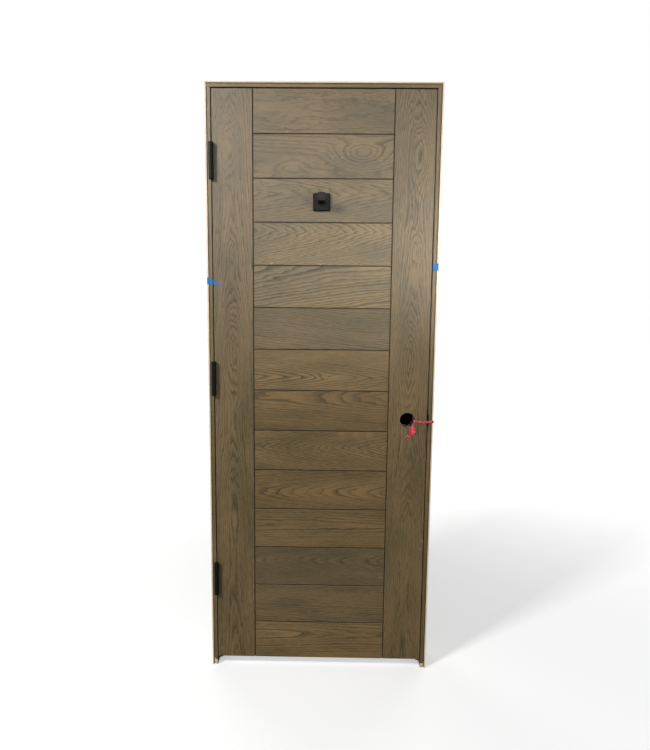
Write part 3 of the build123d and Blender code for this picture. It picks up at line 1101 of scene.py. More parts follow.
@dataclass
class Leaf:
    """Two stiles and fourteen planks, dressed board by board."""

    finish: OakFinish
    tongue: float = 8.0
    tenon: float = 12.0
    chips: tuple[Chip, ...] = (
        Chip(300.1, 2063, 1.7), Chip(416.8, 2063, 1.5), Chip(275.4, 1911.8, 1.5),
        Chip(271.9, 1930, 1.3), Chip(464.8, 1848.2, 1.6), Chip(36.5, 66, 2),
        Chip(774.8, 498.8, 2.6), Chip(775.2, 358, 2.2), Chip(768.8, 468, 1.8),
        Chip(626.5, 357, 1.6), Chip(445.8, 205, 1.2), Chip(358.2, 53.5, 1.3),
    )
    # Tone and warm are partly each board's own colour and partly painted light: the upper six
    # planks are painted greyer as a sheen, and boards' tones are raised or lowered for how the
    # light fell on them.
    # seed, heart, depth, lean, ring, sway, flute, contrast, tone, warm
    stiles: dict[str, Figure] = field(default_factory=lambda: {
        "hinge_stile": Figure(
            3.1, -4, 70, 0.03, 3.7, 7, 4.6, 1.4, 0.9, 0.06,
            swells=(Spot(830, -18, 110, 40, -23), Spot(478, -2, 50, 16, -9),
                    Spot(130, 0, 150, 42, -23), Spot(-420, -6, 200, 38, -14)),
            golds_and_painted_light=(Spot(845, -22, 70, 30, 0.35),), calms=(Spot(-700, 0, 560, 400, 0.55),)),
        "lock_stile": Figure(
            7.7, 6, 70, 0.03, 3.7, 7, 4.6, 1.4, 0.985, 0.07,
            swells=(Spot(815, 22, 115, 40, -23), Spot(489, 12, 50, 16, -9),
                    Spot(110, -2, 150, 42, -23), Spot(-500, 4, 220, 38, -12)),
            calms=(Spot(-700, 0, 560, 400, 0.6),)),
    })
    # Gold spots that span a lower plank's whole width at its ends are painted light: darker at its
    # left end and lighter at its right.
    planks: tuple[Figure, ...] = (
        Figure(1.3, 8, 150, 0, 4.8, 8, 2.2, 0.58, 0.89, -0.08, ripple=8,
               swells=(Spot(0, 6, 70, 15, 6), Spot(190, 34, 50, 20, 9),
                       Spot(-150, -18, 55, 24, -7)),
               golds_and_painted_light=(Spot(0, 6, 55, 11, 0.4),)),
        Figure(2.2, -45, 150, 0.01, 5.8, 6, 3.4, 0.76, 0.95, -0.12,
               swells=(Spot(132, -6, 94, 42, 37), Spot(-105, -46, 60, 26, 13),
                       Spot(-10, -66, 50, 14, 7)),
               golds_and_painted_light=(Spot(-106, -34, 40, 24, 0.8), Spot(-8, -62, 46, 12, 0.8)),
               calms=(Spot(40, 44, 70, 34, 0.5),)),
        Figure(3.9, 10, 120, 0.06, 3.4, 5, 3.4, 0.85, 0.975, -0.13, crest=0.12,
               swells=(Spot(-190, 40, 45, 15, 9),),
               golds_and_painted_light=(Spot(75, 8, 20, 14, 0.5), Spot(145, 6, 20, 14, 0.5))),
        Figure(4.4, 36, 148, 0.1, 3.4, 3, 3.4, 1, 1.075, -0.14, crest=0.14),
        Figure(5.6, 75, 110, 0.11, 7.4, 5, 2.6, 1.35, 1.13, -0.17, ripple=5,
               swells=(Spot(240, 60, 150, 60, -20),), golds_and_painted_light=(Spot(190, 60, 120, 45, 0.35),)),
        Figure(6.1, -150, 120, 0.06, 4.4, 8, 3, 1.5, 1, -0.14, ripple=2,
               calms=(Spot(0, -30, 400, 55, 0.4),)),
        Figure(7.2, -33, 150, 0.055, 3.3, 3, 2, 1.6, 1.08, 0.25, crest=0.3,
               swells=(Spot(22, -32, 38, 9, 5),),
               golds_and_painted_light=(Spot(60, -30, 260, 22, 0.35), Spot(200, 0, 110, 80, 0.3),
                      Spot(-200, 0, 90, 80, -0.5)),
               calms=(Spot(0, 45, 400, 38, 0.85),)),
        Figure(8.5, 45, 60, -0.04, 4.5, 4, 2.6, 1, 0.9, 0.31,
               swells=(Spot(-20, 48, 130, 26, 6),),
               golds_and_painted_light=(Spot(-70, 46, 115, 18, 0.3), Spot(65, 38, 24, 14, 0.5),
                      Spot(-210, -20, 100, 60, -0.6))),
        Figure(9.3, 3, 200, -0.115, 3.8, 3, 3.2, 1.25, 0.94, 0.22, crest=0.4,
               golds_and_painted_light=(Spot(78, 52, 12, 14, 1), Spot(126, 52, 12, 14, 1), Spot(175, 52, 13, 14, 1),
                      Spot(120, -2, 45, 14, 0.4), Spot(-200, 0, 110, 90, -1.3),
                      Spot(200, 0, 100, 90, 0.35)),
               calms=(Spot(-200, 0, 110, 80, 0.6),)),
        Figure(10.6, -18, 46, -0.078, 4.3, 3, 1.8, 0.9, 0.88, 0.29,
               golds_and_painted_light=(Spot(40, -12, 60, 22, 0.4), Spot(150, -10, 40, 22, 0.5),
                      Spot(60, 25, 130, 18, 0.25), Spot(215, 0, 70, 90, 0.5),
                      Spot(-205, 0, 90, 90, -0.6))),
        Figure(11.2, 4, 110, 0.012, 3.8, 5, 2.2, 1, 1.02, 0.21, ripple=1.6, crest=0.15),
        Figure(12.7, 15, 38, -0.086, 4.1, 4, 2, 0.65, 0.845, -0.11,
               golds_and_painted_light=(Spot(-205, 50, 40, 26, 0.4), Spot(200, 40, 45, 30, 0.3))),
        Figure(13.4, -150, 130, 0.03, 4, 6, 3, 1, 0.98, -0.04, ripple=2,
               golds_and_painted_light=(Spot(-220, 20, 45, 60, 0.3), Spot(120, -60, 160, 22, 0.3))),
        Figure(14.8, 18, 70, 0.012, 4.6, 4, 2.2, 0.95, 1.14, 0.18,
               swells=(Spot(-190, 16, 230, 26, -9.5),),
               golds_and_painted_light=(Spot(-190, 20, 130, 18, 0.25), Spot(190, 20, 50, 18, 0.35),
                      Spot(205, -10, 90, 90, 0.3), Spot(-205, -10, 80, 90, -0.5))),
    )

    def boards(self) -> list[Board]:
        """Every board of the leaf.

        Returns:
            The boards. A plank's box leaves out its tenons, and runs from above its groove to
            the top of its tongue.
        """
        left, right = DOOR.leaf_left, DOOR.leaf_right
        stile_x = {"hinge_stile": (left, left + DOOR.stile),
                   "lock_stile": (right - DOOR.stile, right)}
        found = [Board(node, Grain.STILE, figure, (stile_x[node][0], DOOR.front, DOOR.leaf_low),
                       (stile_x[node][1], DOOR.leaf_back, DOOR.leaf_high))
                 for node, figure in self.stiles.items()]
        for number, figure in enumerate(self.planks, 1):
            node = f"plank_{number:02d}"
            low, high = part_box(node)
            bottom = low.z / MM + (self.tongue if number < len(self.planks) else 0.0)
            found.append(Board(node, Grain.PLANK, figure,
                               (low.x / MM + self.tenon, DOOR.front, bottom),
                               (high.x / MM - self.tenon, DOOR.leaf_back, high.z / MM)))
        return found

    def dress(self, effects: Effects) -> None:
        """Gives every board its own material.

        Args:
            effects: The shared node groups.
        """
        zones = LeafZones(self.chips)
        for board in self.boards():
            dress_node(board.node, self.finish.material(board, effects, zones))


# ---- the jamb

@dataclass
class Jamb:
    """Two legs, the head and three stops."""

    finish: OakFinish
    kerf: Colour = (0.30, 0.165, 0.078)
    # Raw wood of the hinge, strike and head jambs. The hinge and strike colours are partly painted
    # light: the strike jamb's outer strip is paler as if lit from the right, and the hinge jamb's
    # split foot, which faces down, is painted brighter.
    raws_with_painted_light: tuple[Colour, ...] = ((0.90, 0.74, 0.54), (0.95, 0.83, 0.58), (0.76, 0.62, 0.43))
    zones: dict[str, JambZones] = field(default_factory=lambda: {
        "hinge_jamb": JambZones(axis=0, outer=0.0, inward=1.0, chip_height=27.0),
        "strike_jamb": JambZones(axis=0, outer=DOOR.frame_width, inward=-1.0, chip_height=19.0,
                                 chip_fall=3.0, scoop=(906.0, 988.0)),
        "head_jamb": JambZones(axis=2, outer=DOOR.frame_height, inward=-1.0),
    })
    # seed, heart, depth, lean, ring, sway, flute, contrast
    leg_figures: tuple[Figure, ...] = (
        Figure(21.4, 10, 60, 0.03, 3, 6, 3, 0.8),
        Figure(22.9, -12, 64, 0.028, 3.2, 6, 3, 0.8),
        Figure(23.3, 4, 70, 0.03, 3, 6, 3, 0.8),
    )
    stop_figures: dict[str, Figure] = field(default_factory=lambda: {
        "hinge_stop": Figure(24.1, 40, 60, 0.02, 3.2, 5, 1.6, 0.7),
        "strike_stop": Figure(25.8, -46, 66, 0.02, 3.4, 5, 1.6, 0.7),
        "head_stop": Figure(26.5, 30, 70, 0.02, 3.4, 5, 1.6, 0.7),
    })

    def dress(self, effects: Effects) -> None:
        """Gives the legs, the head and the stops their materials.

        Args:
            effects: The shared node groups.
        """
        for (node, zone), figure, raw in zip(self.zones.items(), self.leg_figures, self.raws_with_painted_light):
            finish = replace(self.finish, groove=self.kerf, raw=raw)
            dress_node(node, finish.material(self.board(node, figure), effects, zone))
        for node, figure in self.stop_figures.items():
            dress_node(node, self.finish.material(self.board(node, figure), effects, Zones()))

    def board(self, node: str, figure: Figure) -> Board:
        """A board that shows its whole CAD box.

        Args:
            node: The CAD node.
            figure: How it was sawn.

        Returns:
            The board.
        """
        low, high = (tuple(v / MM for v in corner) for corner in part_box(node))
        return Board(node, Grain.HEAD if "head" in node else Grain.LEG, figure, low, high)


# ---- hinges

@dataclass
class HingeScrews:
    """Flat-head screws in the hinge plates, set out and made with Geometry Nodes."""

    head_radius: float = 5.4
    proud: float = 0.35
    recess_length: float = 5.6
    recess_width: float = 1.3
    recess_deep: float = 1.6
    rim_share: float = 0.86
    rim_depth: float = 4.0
    sides: int = 32
    seed: int = 11
    across: tuple[float, float] = (12.0, 26.0)
    up: tuple[float, ...] = (-42.0, -15.0, 15.0, 42.0)

    def tree(self) -> Tree:
        """The Geometry Nodes tree that sets a cross-head screw on each point.

        Returns:
            The tree, whose sizes are its inputs, in metres.
        """
        tree = bpy.data.node_groups.new("hinge screws", "GeometryNodeTree")
        floats = ("Head Radius", "Proud", "Recess Length", "Recess Width", "Recess Depth")
        kinds = {"Points": "Geometry", **dict.fromkeys(floats, "Float"), "Facing": "Rotation",
                 "Seed": "Int", "Finish": "Material"}
        for label, kind in kinds.items():
            tree.interface.new_socket(label, in_out="INPUT", socket_type="NodeSocket" + kind)
        tree.interface.new_socket("Screws", in_out="OUTPUT", socket_type="NodeSocketGeometry")
        g = Graph(tree)
        given = tree.nodes.new("NodeGroupInput").outputs
        radius, proud, length, width, depth = (given[label] for label in floats)
        rim = g.times(proud, self.rim_depth)
        head = g.node("GeometryNodeMeshCone", {
            "Vertices": self.sides, "Side Segments": 2, "Fill Segments": 2,
            "Radius Top": g.times(radius, self.rim_share), "Radius Bottom": radius, "Depth": rim})
        sunk = g.node("GeometryNodeTransform", {
            "Geometry": head.outputs["Mesh"], "Translation": g.join(0.0, 0.0, g.minus(proud, rim))})
        cross = g.node("GeometryNodeMeshBoolean", operation="UNION", solver="EXACT")
        for size in ((length, width), (width, length)):
            bar = g.node("GeometryNodeMeshCube", {"Size": g.join(*size, depth)})
            tree.links.new(bar.outputs["Mesh"], cross.inputs["Mesh 2"])
        moved = g.node("GeometryNodeTransform", {"Geometry": cross.outputs["Mesh"],
                                                 "Translation": g.join(0.0, 0.0, proud)})
        cut = g.node("GeometryNodeMeshBoolean", {"Mesh 1": sunk.outputs[0]},
                     operation="DIFFERENCE", solver="EXACT")
        tree.links.new(moved.outputs[0], cut.inputs["Mesh 2"])
        spread = g.node("GeometryNodeInstanceOnPoints", {
            "Points": given["Points"], "Instance": cut.outputs["Mesh"],
            "Rotation": given["Facing"]})
        half_turn = {3: math.pi, "Seed": given["Seed"]}
        turn = g.node("FunctionNodeRandomValue", half_turn, data_type="FLOAT")
        spun = g.node("GeometryNodeRotateInstances", {
            "Instances": spread.outputs[0], "Rotation": g.join(0.0, 0.0, turn.outputs[1])})
        whole = g.node("GeometryNodeRealizeInstances", {"Geometry": spun.outputs[0]})
        dressed = g.node("GeometryNodeSetMaterial", {"Geometry": whole.outputs[0],
                                                     "Material": given["Finish"]})
        g.put(tree.nodes.new("NodeGroupOutput").inputs["Screws"], dressed.outputs[0])
        return tree

    def build(self, name: str, x: float, facing: float, heights: list[float], tree: Tree,
              material: Material) -> Object:
        """The screws of one body's plates.

        Args:
            name: The piece's name.
            x: Where the plates' faces are, in millimetres.
            facing: 1 where they face right, -1 where they face left.
            heights: The middle height of each hinge, in millimetres.
            tree: The screws' tree.
            material: The finish.

        Returns:
            The screws as one mesh.
        """
        points = [metres((x, DOOR.front + self.across[number % 2], height + up))
                  for height in heights for number, up in enumerate(self.up)]
        piece = add_object(name, plain_mesh(name, points, []))
        modifier = piece.modifiers.new("screws", "NODES")
        modifier.node_group = tree
        values = {"Head Radius": self.head_radius * MM, "Proud": self.proud * MM,
                  "Recess Length": self.recess_length * MM,
                  "Recess Width": self.recess_width * MM, "Recess Depth": self.recess_deep * MM,
                  "Facing": (0.0, facing * math.pi / 2, 0.0), "Seed": self.seed,
                  "Finish": material}
        for item in tree.interface.items_tree:
            if item.in_out == "INPUT" and item.name in values:
                modifier[item.identifier] = values[item.name]
        return settle(piece)


@dataclass
class Hinges:
    """Three black butt hinges: plates and pins from the CAD, screws added."""

    finish: CoatFinish
    screws: HingeScrews = field(default_factory=HingeScrews)

    def dress(self, effects: Effects) -> None:
        """Coats the plates and pins and adds the screws.

        Args:
            effects: The shared node groups.
        """
        material = self.finish.material(effects)
        heights = []
        for hinge in ("top_hinge", "middle_hinge", "bottom_hinge"):
            for part in ("jamb_plate", "leaf_plate", "pin"):
                dress_node(f"{hinge}_{part}", material)
            low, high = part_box(f"{hinge}_pin")
            heights.append((low.z + high.z) / 2 / MM)
        tree = self.screws.tree()
        for name, x, facing, body in (("hinge_jamb_screws", DOOR.jamb_thick, 1.0, Body.FRAME),
                                      ("hinge_leaf_screws", DOOR.leaf_left, -1.0, Body.LEAF)):
            piece = self.screws.build(name, x, facing, heights, tree, material)
            place_piece(piece, body, Slot.HINGE)


# ---- robe hook

@dataclass
class RobeHook:
    """The square robe hook: rose and arm from the CAD, with its set screw added."""

    finish: CoatFinish
    # The arm's coat is a lighter copy of the rose's: painted light, for the arm's lip catches more
    # light than the rose.
    painted_lit_arm: Colour = (0.0195, 0.0190, 0.0140)
    arm_gloss: float = 0.14
    arm_shine: float = 0.32
    screw_radius: float = 2.0
    screw_rim: float = 0.3
    screw_tail: float = 1.5
    socket_radius: float = 1.15
    socket_deep: float = 1.2
    proud: float = 0.3
    rim_share: float = 0.8
    depth_share: float = 0.36
    sides: int = 24

    def set_screw(self, material: Material) -> Object:
        """The grub screw under the rose, with its six-sided socket.

        Args:
            material: The finish.

        Returns:
            The screw.
        """
        round_rings = ((self.screw_radius, self.screw_tail),
                       (self.screw_radius, -self.rim_share * self.proud),
                       (self.screw_radius - self.screw_rim, -self.proud))
        six_sided = ((self.socket_radius, -self.proud), (self.socket_radius, self.socket_deep))
        low = DOOR.hook_z - DOOR.rose / 2
        middle_y = DOOR.front - DOOR.rose_thick * self.depth_share
        sixth = math.pi / 3
        points = []
        for number, (radius, up) in enumerate(round_rings + six_sided):
            for step in range(self.sides):
                angle = 2 * math.pi * step / self.sides
                reach = radius
                if number >= len(round_rings):
                    reach *= math.cos(sixth / 2) / math.cos(angle % sixth - sixth / 2)
                points.append(metres((DOOR.hook_x + reach * math.cos(angle),
                                      middle_y + reach * math.sin(angle), low + up)))
        mesh = tube_mesh("hook_set_screw", points, self.sides, False)
        return add_object("hook_set_screw", mesh, material)

    def dress(self, effects: Effects) -> None:
        """Coats the rose and the arm, and adds the set screw.

        Args:
            effects: The shared node groups.
        """
        material = self.finish.material(effects)
        # Painted light: the arm gets the rose's coat made lighter.
        painted_lit_arm = replace(self.finish, name="hook_arm_coat", base=self.painted_lit_arm,
                          gloss=self.arm_gloss, shine=self.arm_shine)
        dress_node("hook_rose", material)
        dress_node("hook_arm", painted_lit_arm.material(effects))
        place_piece(self.set_screw(material), Body.LEAF, Slot.HOOK)


# ---- carriage tie

def along(table: Table, share: float) -> float:
    """A number read from a table of (share, number) pairs, eased between them.

    Args:
        table: The pairs, in order of share.
        share: Where to read, from 0 to 1.

    Returns:
        The number.
    """
    for (low, start), (high, end) in zip(table, table[1:]):
        if share <= high:
            part = (share - low) / (high - low)
            return start + (end - start) * part * part * (3 - 2 * part)
    return table[-1][1]


def smooth_line(name: str, points: tuple[Point, ...], steps: int) -> list[Vector]:
    """The points of a smooth NURBS line with these control points.

    Args:
        name: The curve's name while it lasts.
        points: Its control points, in millimetres.
        steps: Points that Blender reads between two control points.

    Returns:
        The points along the line, in metres.
    """
    curve = bpy.data.curves.new(name, "CURVE")
    curve.dimensions = "3D"
    curve.resolution_u = steps
    spline = curve.splines.new("NURBS")
    spline.points.add(len(points) - 1)
    for knot, point in zip(spline.points, points):
        knot.co = (*metres(point), 1.0)
    spline.order_u = 3
    spline.use_endpoint_u = True
    holder = bpy.data.objects.new(name, curve)
    mesh = bpy.data.meshes.new_from_object(holder)
    line = [v.co.copy() for v in mesh.vertices]
    bpy.data.objects.remove(holder)
    bpy.data.meshes.remove(mesh)
    bpy.data.curves.remove(curve)
    return line


@dataclass(frozen=True)
class Ribbon:
    """A crumpled strip of film, swept along a smooth line, in millimetres.

    Tables give a number along the strip. Folds and creases repeat so often a millimetre of the
    run, and so often across it.
    """

    name: str
    route: tuple[Point, ...]
    normal: Point
    width: float
    thick: float
    crumple: float
    seed: float
    waist: Table = ((0.0, 1.0), (1.0, 1.0))
    thin: Table = ((0.0, 0.0), (1.0, 0.0))
    steps: int = 16
    sides: int = 28
    lift: float = 0.05
    bore_edge: float = 0.3
    jamb_edge: float = 0.02
    tip: float = 0.25
    tip_slope: float = 6.0
    fold: tuple[float, float] = (0.11, 1.9)
    crease: tuple[float, float] = (0.34, 4.6)
    crease_share: float = 0.45
    ragged: tuple[float, float] = (0.22, 3.0)
    ragged_share: float = 0.22
    seed_steps: tuple[float, float] = (9.0, 4.0)

    def line(self) -> list[Vector]:
        """The points that the ribbon follows, in metres."""
        return smooth_line(self.name, self.route, self.steps)

    def clear(self, point: Vector) -> Vector:
        """A point kept in front of the leaf and the jamb, unless it is inside the cross bore.

        Args:
            point: The point, in metres.

        Returns:
            The point, moved forward where it has to be.
        """
        bore = math.hypot(point.x - DOOR.lock_x * MM, point.z - DOOR.lock_z * MM)
        beyond = point.x > (DOOR.frame_width + self.jamb_edge) * MM
        if bore > (DOOR.bore - self.bore_edge) * MM and not beyond:
            point.y = min(point.y, (DOOR.front - self.lift) * MM)
        return point

    def folded(self, run: float, across: float) -> tuple[float, float]:
        """How far the film is folded up, and how wide it is, at one place.

        Args:
            run: The place along the strip, in millimetres.
            across: The place across it, from -1 to 1.

        Returns:
            The fold's height as a share of the crumple, and the width as a share.
        """
        fine, rim = self.seed_steps
        fold = noise.noise(Vector((run * self.fold[0], across * self.fold[1], self.seed)))
        fold += self.crease_share * noise.noise(Vector(
            (run * self.crease[0], across * self.crease[1], self.seed + fine)))
        edge = 1.0 + self.ragged_share * noise.noise(Vector(
            (run * self.ragged[0], math.copysign(self.ragged[1], across), self.seed + rim)))
        return fold, edge

    def build(self, material: Material) -> Object:
        """Makes the ribbon.

        Args:
            material: Its finish.

        Returns:
            The ribbon as a closed mesh with ridge and thin attributes.
        """
        line = self.line()
        last = len(line) - 1
        up = Vector(self.normal).normalized()
        points, ridge, thin = [], [], []
        run = 0.0
        for number, middle in enumerate(line):
            ahead = (line[min(number + 1, last)] - line[max(number - 1, 0)]).normalized()
            up = (up - ahead * up.dot(ahead)).normalized()
            side = ahead.cross(up).normalized()
            share = number / last
            run += (middle - line[number - 1]).length / MM if number else 0.0
            wide = self.width / 2 * along(self.waist, share)
            close = min(1.0, self.tip_slope * min(share, 1.0 - share) + self.tip)
            for step in range(self.sides):
                angle = 2 * math.pi * step / self.sides
                across, over = math.cos(angle), math.sin(angle)
                fold, edge = self.folded(run, across)
                height = over * self.thick / 2 * close + fold * self.crumple
                moved = side * (across * wide * edge) + up * height
                points.append(self.clear(middle + moved * MM))
                # ridge is the fold's height, which the film's material turns into a painted
                # highlight on the crests.
                ridge.append(max(0.0, min(1.0, 0.5 + fold)))
                thin.append(along(self.thin, share))
        mesh = tube_mesh(self.name, points, self.sides)
        for label, values in (("ridge", ridge), ("thin", thin)):
            mesh.attributes.new(label, "FLOAT", "POINT").data.foreach_set("value", values)
        return add_object(self.name, mesh, material)


@dataclass
class CarriageTie:
    """The red film that ties the leaf to the strike jamb, with its hanging tail.

    Routes are control points in millimetres: across the door, in front of its face as a minus,
    and up. Those of the tail are counted from the middle of the cross bore.
    """

    finish: FilmFinish
    tail_length: float = 67.0
    width: float = 8.0
    strap: tuple[Point, ...] = (
        (780.3, -1.7, 940.6), (768.0, -1.7, 940.6), (750.0, -1.8, 941.4), (738.0, -2.2, 942.2),
        (734.8, -1.4, 942.4), (731.0, 3.0, 942.0), (729.8, 16.0, 941.0), (726.9, 26.0, 935.0),
        (722.9, 26.0, 930.0), (720.4, 18.0, 926.5), (720.9, 7.0, 925.4), (722.4, 0.6, 924.2))
    jamb_end: tuple[Point, ...] = (
        (781.8, -1.7, 940.7), (790.0, -1.7, 941.0), (796.8, -1.9, 942.0), (801.9, -1.6, 943.0),
        (802.1, 5.0, 943.4), (802.0, 14.0, 943.6))
    tail: Table = ((17.0, -22.6), (25.0, -28.0), (26.0, -38.5), (20.0, -49.0), (11.0, -58.0),
                   (4.0, -66.0), (-2.0, -76.0))
    tail_off: float = -1.6
    fold: Table = ((12.0, -22.0), (14.0, -29.0), (15.0, -37.0), (15.0, -44.0), (8.0, -53.0),
                   (-2.0, -61.0), (-7.0, -67.0), (-10.5, -75.0))
    fold_off: float = -2.8
    frayed: Table = ((0.0, 0.0), (0.62, 0.0), (0.78, 1.0), (1.0, 1.0))
    waist: Table = ((0.0, 0.9), (0.2, 1.45), (0.5, 1.4), (0.66, 0.9), (0.8, 0.44), (1.0, 0.34))

    def ribbons(self) -> dict[str, Ribbon]:
        """Every run of the film.

        Returns:
            The ribbons by name.
        """
        face = (0.0, -1.0, 0.0)
        strap, end = (tuple((x, DOOR.front + y, z) for x, y, z in route)
                      for route in (self.strap, self.jamb_end))
        tail, fold = (tuple((DOOR.lock_x + x, DOOR.front + y, DOOR.lock_z + z) for x, z in route)
                      for route, y in ((self.tail, self.tail_off), (self.fold, self.fold_off)))
        shape = {"width": self.width, "thick": 1.6, "waist": self.waist, "thin": self.frayed}
        return {
            "strap": Ribbon("tie_strap_film", strap, face, width=7.6, thick=2.6, crumple=0.35,
                            seed=2.0),
            "jamb_end": Ribbon("tie_jamb_end_film", end, face, width=7.6, thick=2.4, crumple=0.3,
                               seed=5.0),
            "tail": Ribbon("tie_tail_film", tail, face, crumple=0.9, seed=8.0, **shape),
            "fold": Ribbon("tie_tail_fold", fold, (0.2, -1.0, 0.0), crumple=1.0, seed=12.0,
                           **shape),
        }

    def build(self) -> None:
        material = self.finish.material()
        ribbons = self.ribbons()
        made = {key: ribbon.build(material) for key, ribbon in ribbons.items()}
        place_piece(made["strap"], Body.LEAF, Slot.TIE, "tie_strap")
        place_piece(made["jamb_end"], Body.FRAME, Slot.TIE, "tie_jamb_end")
        place_piece(made["tail"], Body.LEAF, Slot.TIE, "tie_tail")
        place_piece(made["fold"], Body.LEAF, Slot.TIE)
        tail = ribbons["tail"]
        metres(tail.route[0])
        self.width * MM
        tail.line()


# ---- tape

@dataclass(frozen=True)
class TapeStrip:
    """One strip of tape: its line in plan, and its two edges along that line, in millimetres."""

    name: str
    body: Body
    plan: Table
    lower: Table
    upper: Table
    seed: float


@dataclass
class PaintersTape:
    """Blue tape across the joints between leaf and jamb, in millimetres.

    The rows are places in the noise that the two edges and the torn ends are read from.
    """

    finish: TapeFinish
    thick: float = 0.16
    lift: float = 0.12
    dip: float = 0.35
    rows: int = 26
    pitch: float = 0.5
    ragged: float = 0.5
    ragged_edge: float = 0.15
    edge_run: float = 0.9
    torn: float = 0.8
    frayed: float = 2.3
    frayed_share: float = 0.6
    edge_rows: tuple[float, float] = (0.0, 7.0)
    end_rows: tuple[float, float] = (3.0, 5.0)

    def strips(self) -> tuple[TapeStrip, ...]:
        """The strips, each on the body that it stays with.

        Returns:
            The strips.
        """
        y = DOOR.front - self.lift
        left, right = -self.lift, DOOR.frame_width + self.lift
        dip = y + self.dip
        return (
            TapeStrip("tape_hinge_jamb", Body.FRAME,
                      ((left, -34.0), (left, y), (4.2, y), (6.1, dip), (8.0, y), (17.0, y),
                       (19.7, y - 0.2)),
                      ((0.0, 1420.0), (0.6, 1419.2), (1.0, 1419.0)),
                      ((0.0, 1446.0), (0.55, 1443.5), (1.0, 1435.0)), 3.0),
            TapeStrip("tape_hinge_stile", Body.LEAF,
                      ((21.0, y - 0.2), (23.2, y), (34.0, y), (52.0, y)),
                      ((0.0, 1419.0), (0.5, 1418.6), (1.0, 1417.6)),
                      ((0.0, 1434.0), (0.5, 1426.0), (1.0, 1418.6)), 6.0),
            TapeStrip("tape_strike_jamb", Body.FRAME,
                      ((782.0, y - 0.1), (784.4, y), (792.5, y), (794.4, dip), (796.3, y),
                       (right, y), (right, -36.0)),
                      ((0.0, 1472.4), (0.5, 1472.8), (1.0, 1473.4)),
                      ((0.0, 1497.4), (0.5, 1497.8), (1.0, 1498.4)), 9.0),
        )

    def column(self, tape: TapeStrip, share: float) -> list[Point]:
        """The points across a strip at one place along it.

        Args:
            tape: The strip.
            share: The place, from 0 to 1.

        Returns:
            The points from the lower edge to the upper one, in metres.
        """
        plan = [Vector((*p, 0.0)) for p in tape.plan]
        runs = [(b - a).length for a, b in zip(plan, plan[1:])]
        run = rest = share * sum(runs)
        number = 0
        while number < len(runs) - 1 and rest > runs[number]:
            rest -= runs[number]
            number += 1
        middle = plan[number].lerp(plan[number + 1], rest / runs[number])
        ahead = (plan[number + 1] - plan[number]).normalized()
        low, high = (along(edge, share) + self.ragged_edge * noise.noise(
            Vector((run * self.edge_run, row, tape.seed)))
            for edge, row in zip((tape.lower, tape.upper), self.edge_rows))
        torn_row, frayed_row = self.end_rows
        points = []
        for row in range(self.rows + 1):
            up = low + (high - low) * row / self.rows
            end = noise.noise(Vector((up * self.torn, torn_row, tape.seed)))
            end += self.frayed_share * noise.noise(
                Vector((up * self.frayed, frayed_row, tape.seed)))
            place = middle + ahead * (self.ragged * end if share in (0.0, 1.0) else 0.0)
            points.append(metres((place.x, place.y, up)))
        return points

    def strip(self, tape: TapeStrip, material: Material) -> Object:
        """Makes one strip.

        Args:
            tape: The strip.
            material: Its finish.

        Returns:
            The strip as a thin closed sheet.
        """
        run = sum(math.dist(a, b) for a, b in zip(tape.plan, tape.plan[1:]))
        columns = max(2, round(run / self.pitch))
        points = [point for column in range(columns + 1)
                  for point in self.column(tape, column / columns)]
        wide = self.rows + 1
        corners = [column * wide + row for column in range(columns) for row in range(self.rows)]
        faces = [(a, a + wide, a + wide + 1, a + 1) for a in corners]
        piece = add_object(tape.name, plain_mesh(tape.name, points, faces), material)
        wall = piece.modifiers.new("wall", "SOLIDIFY")
        wall.thickness = self.thick * MM
        wall.offset = 0.0
        settle(piece)
        for face in piece.data.polygons:
            face.use_smooth = True
        return piece

    def build(self) -> None:
        """Makes every strip and rides it on its body."""
        material = self.finish.material()
        for tape in self.strips():
            place_piece(self.strip(tape, material), tape.body, Slot.JAMB)


# ---- studio

@dataclass(frozen=True)
class Softbox:
    """One area light, in metres and watts."""

    name: str
    place: Point
    target: Point
    size: tuple[float, float]
    power: float
    spread: float = 180.0
    colour: Colour = WHITE


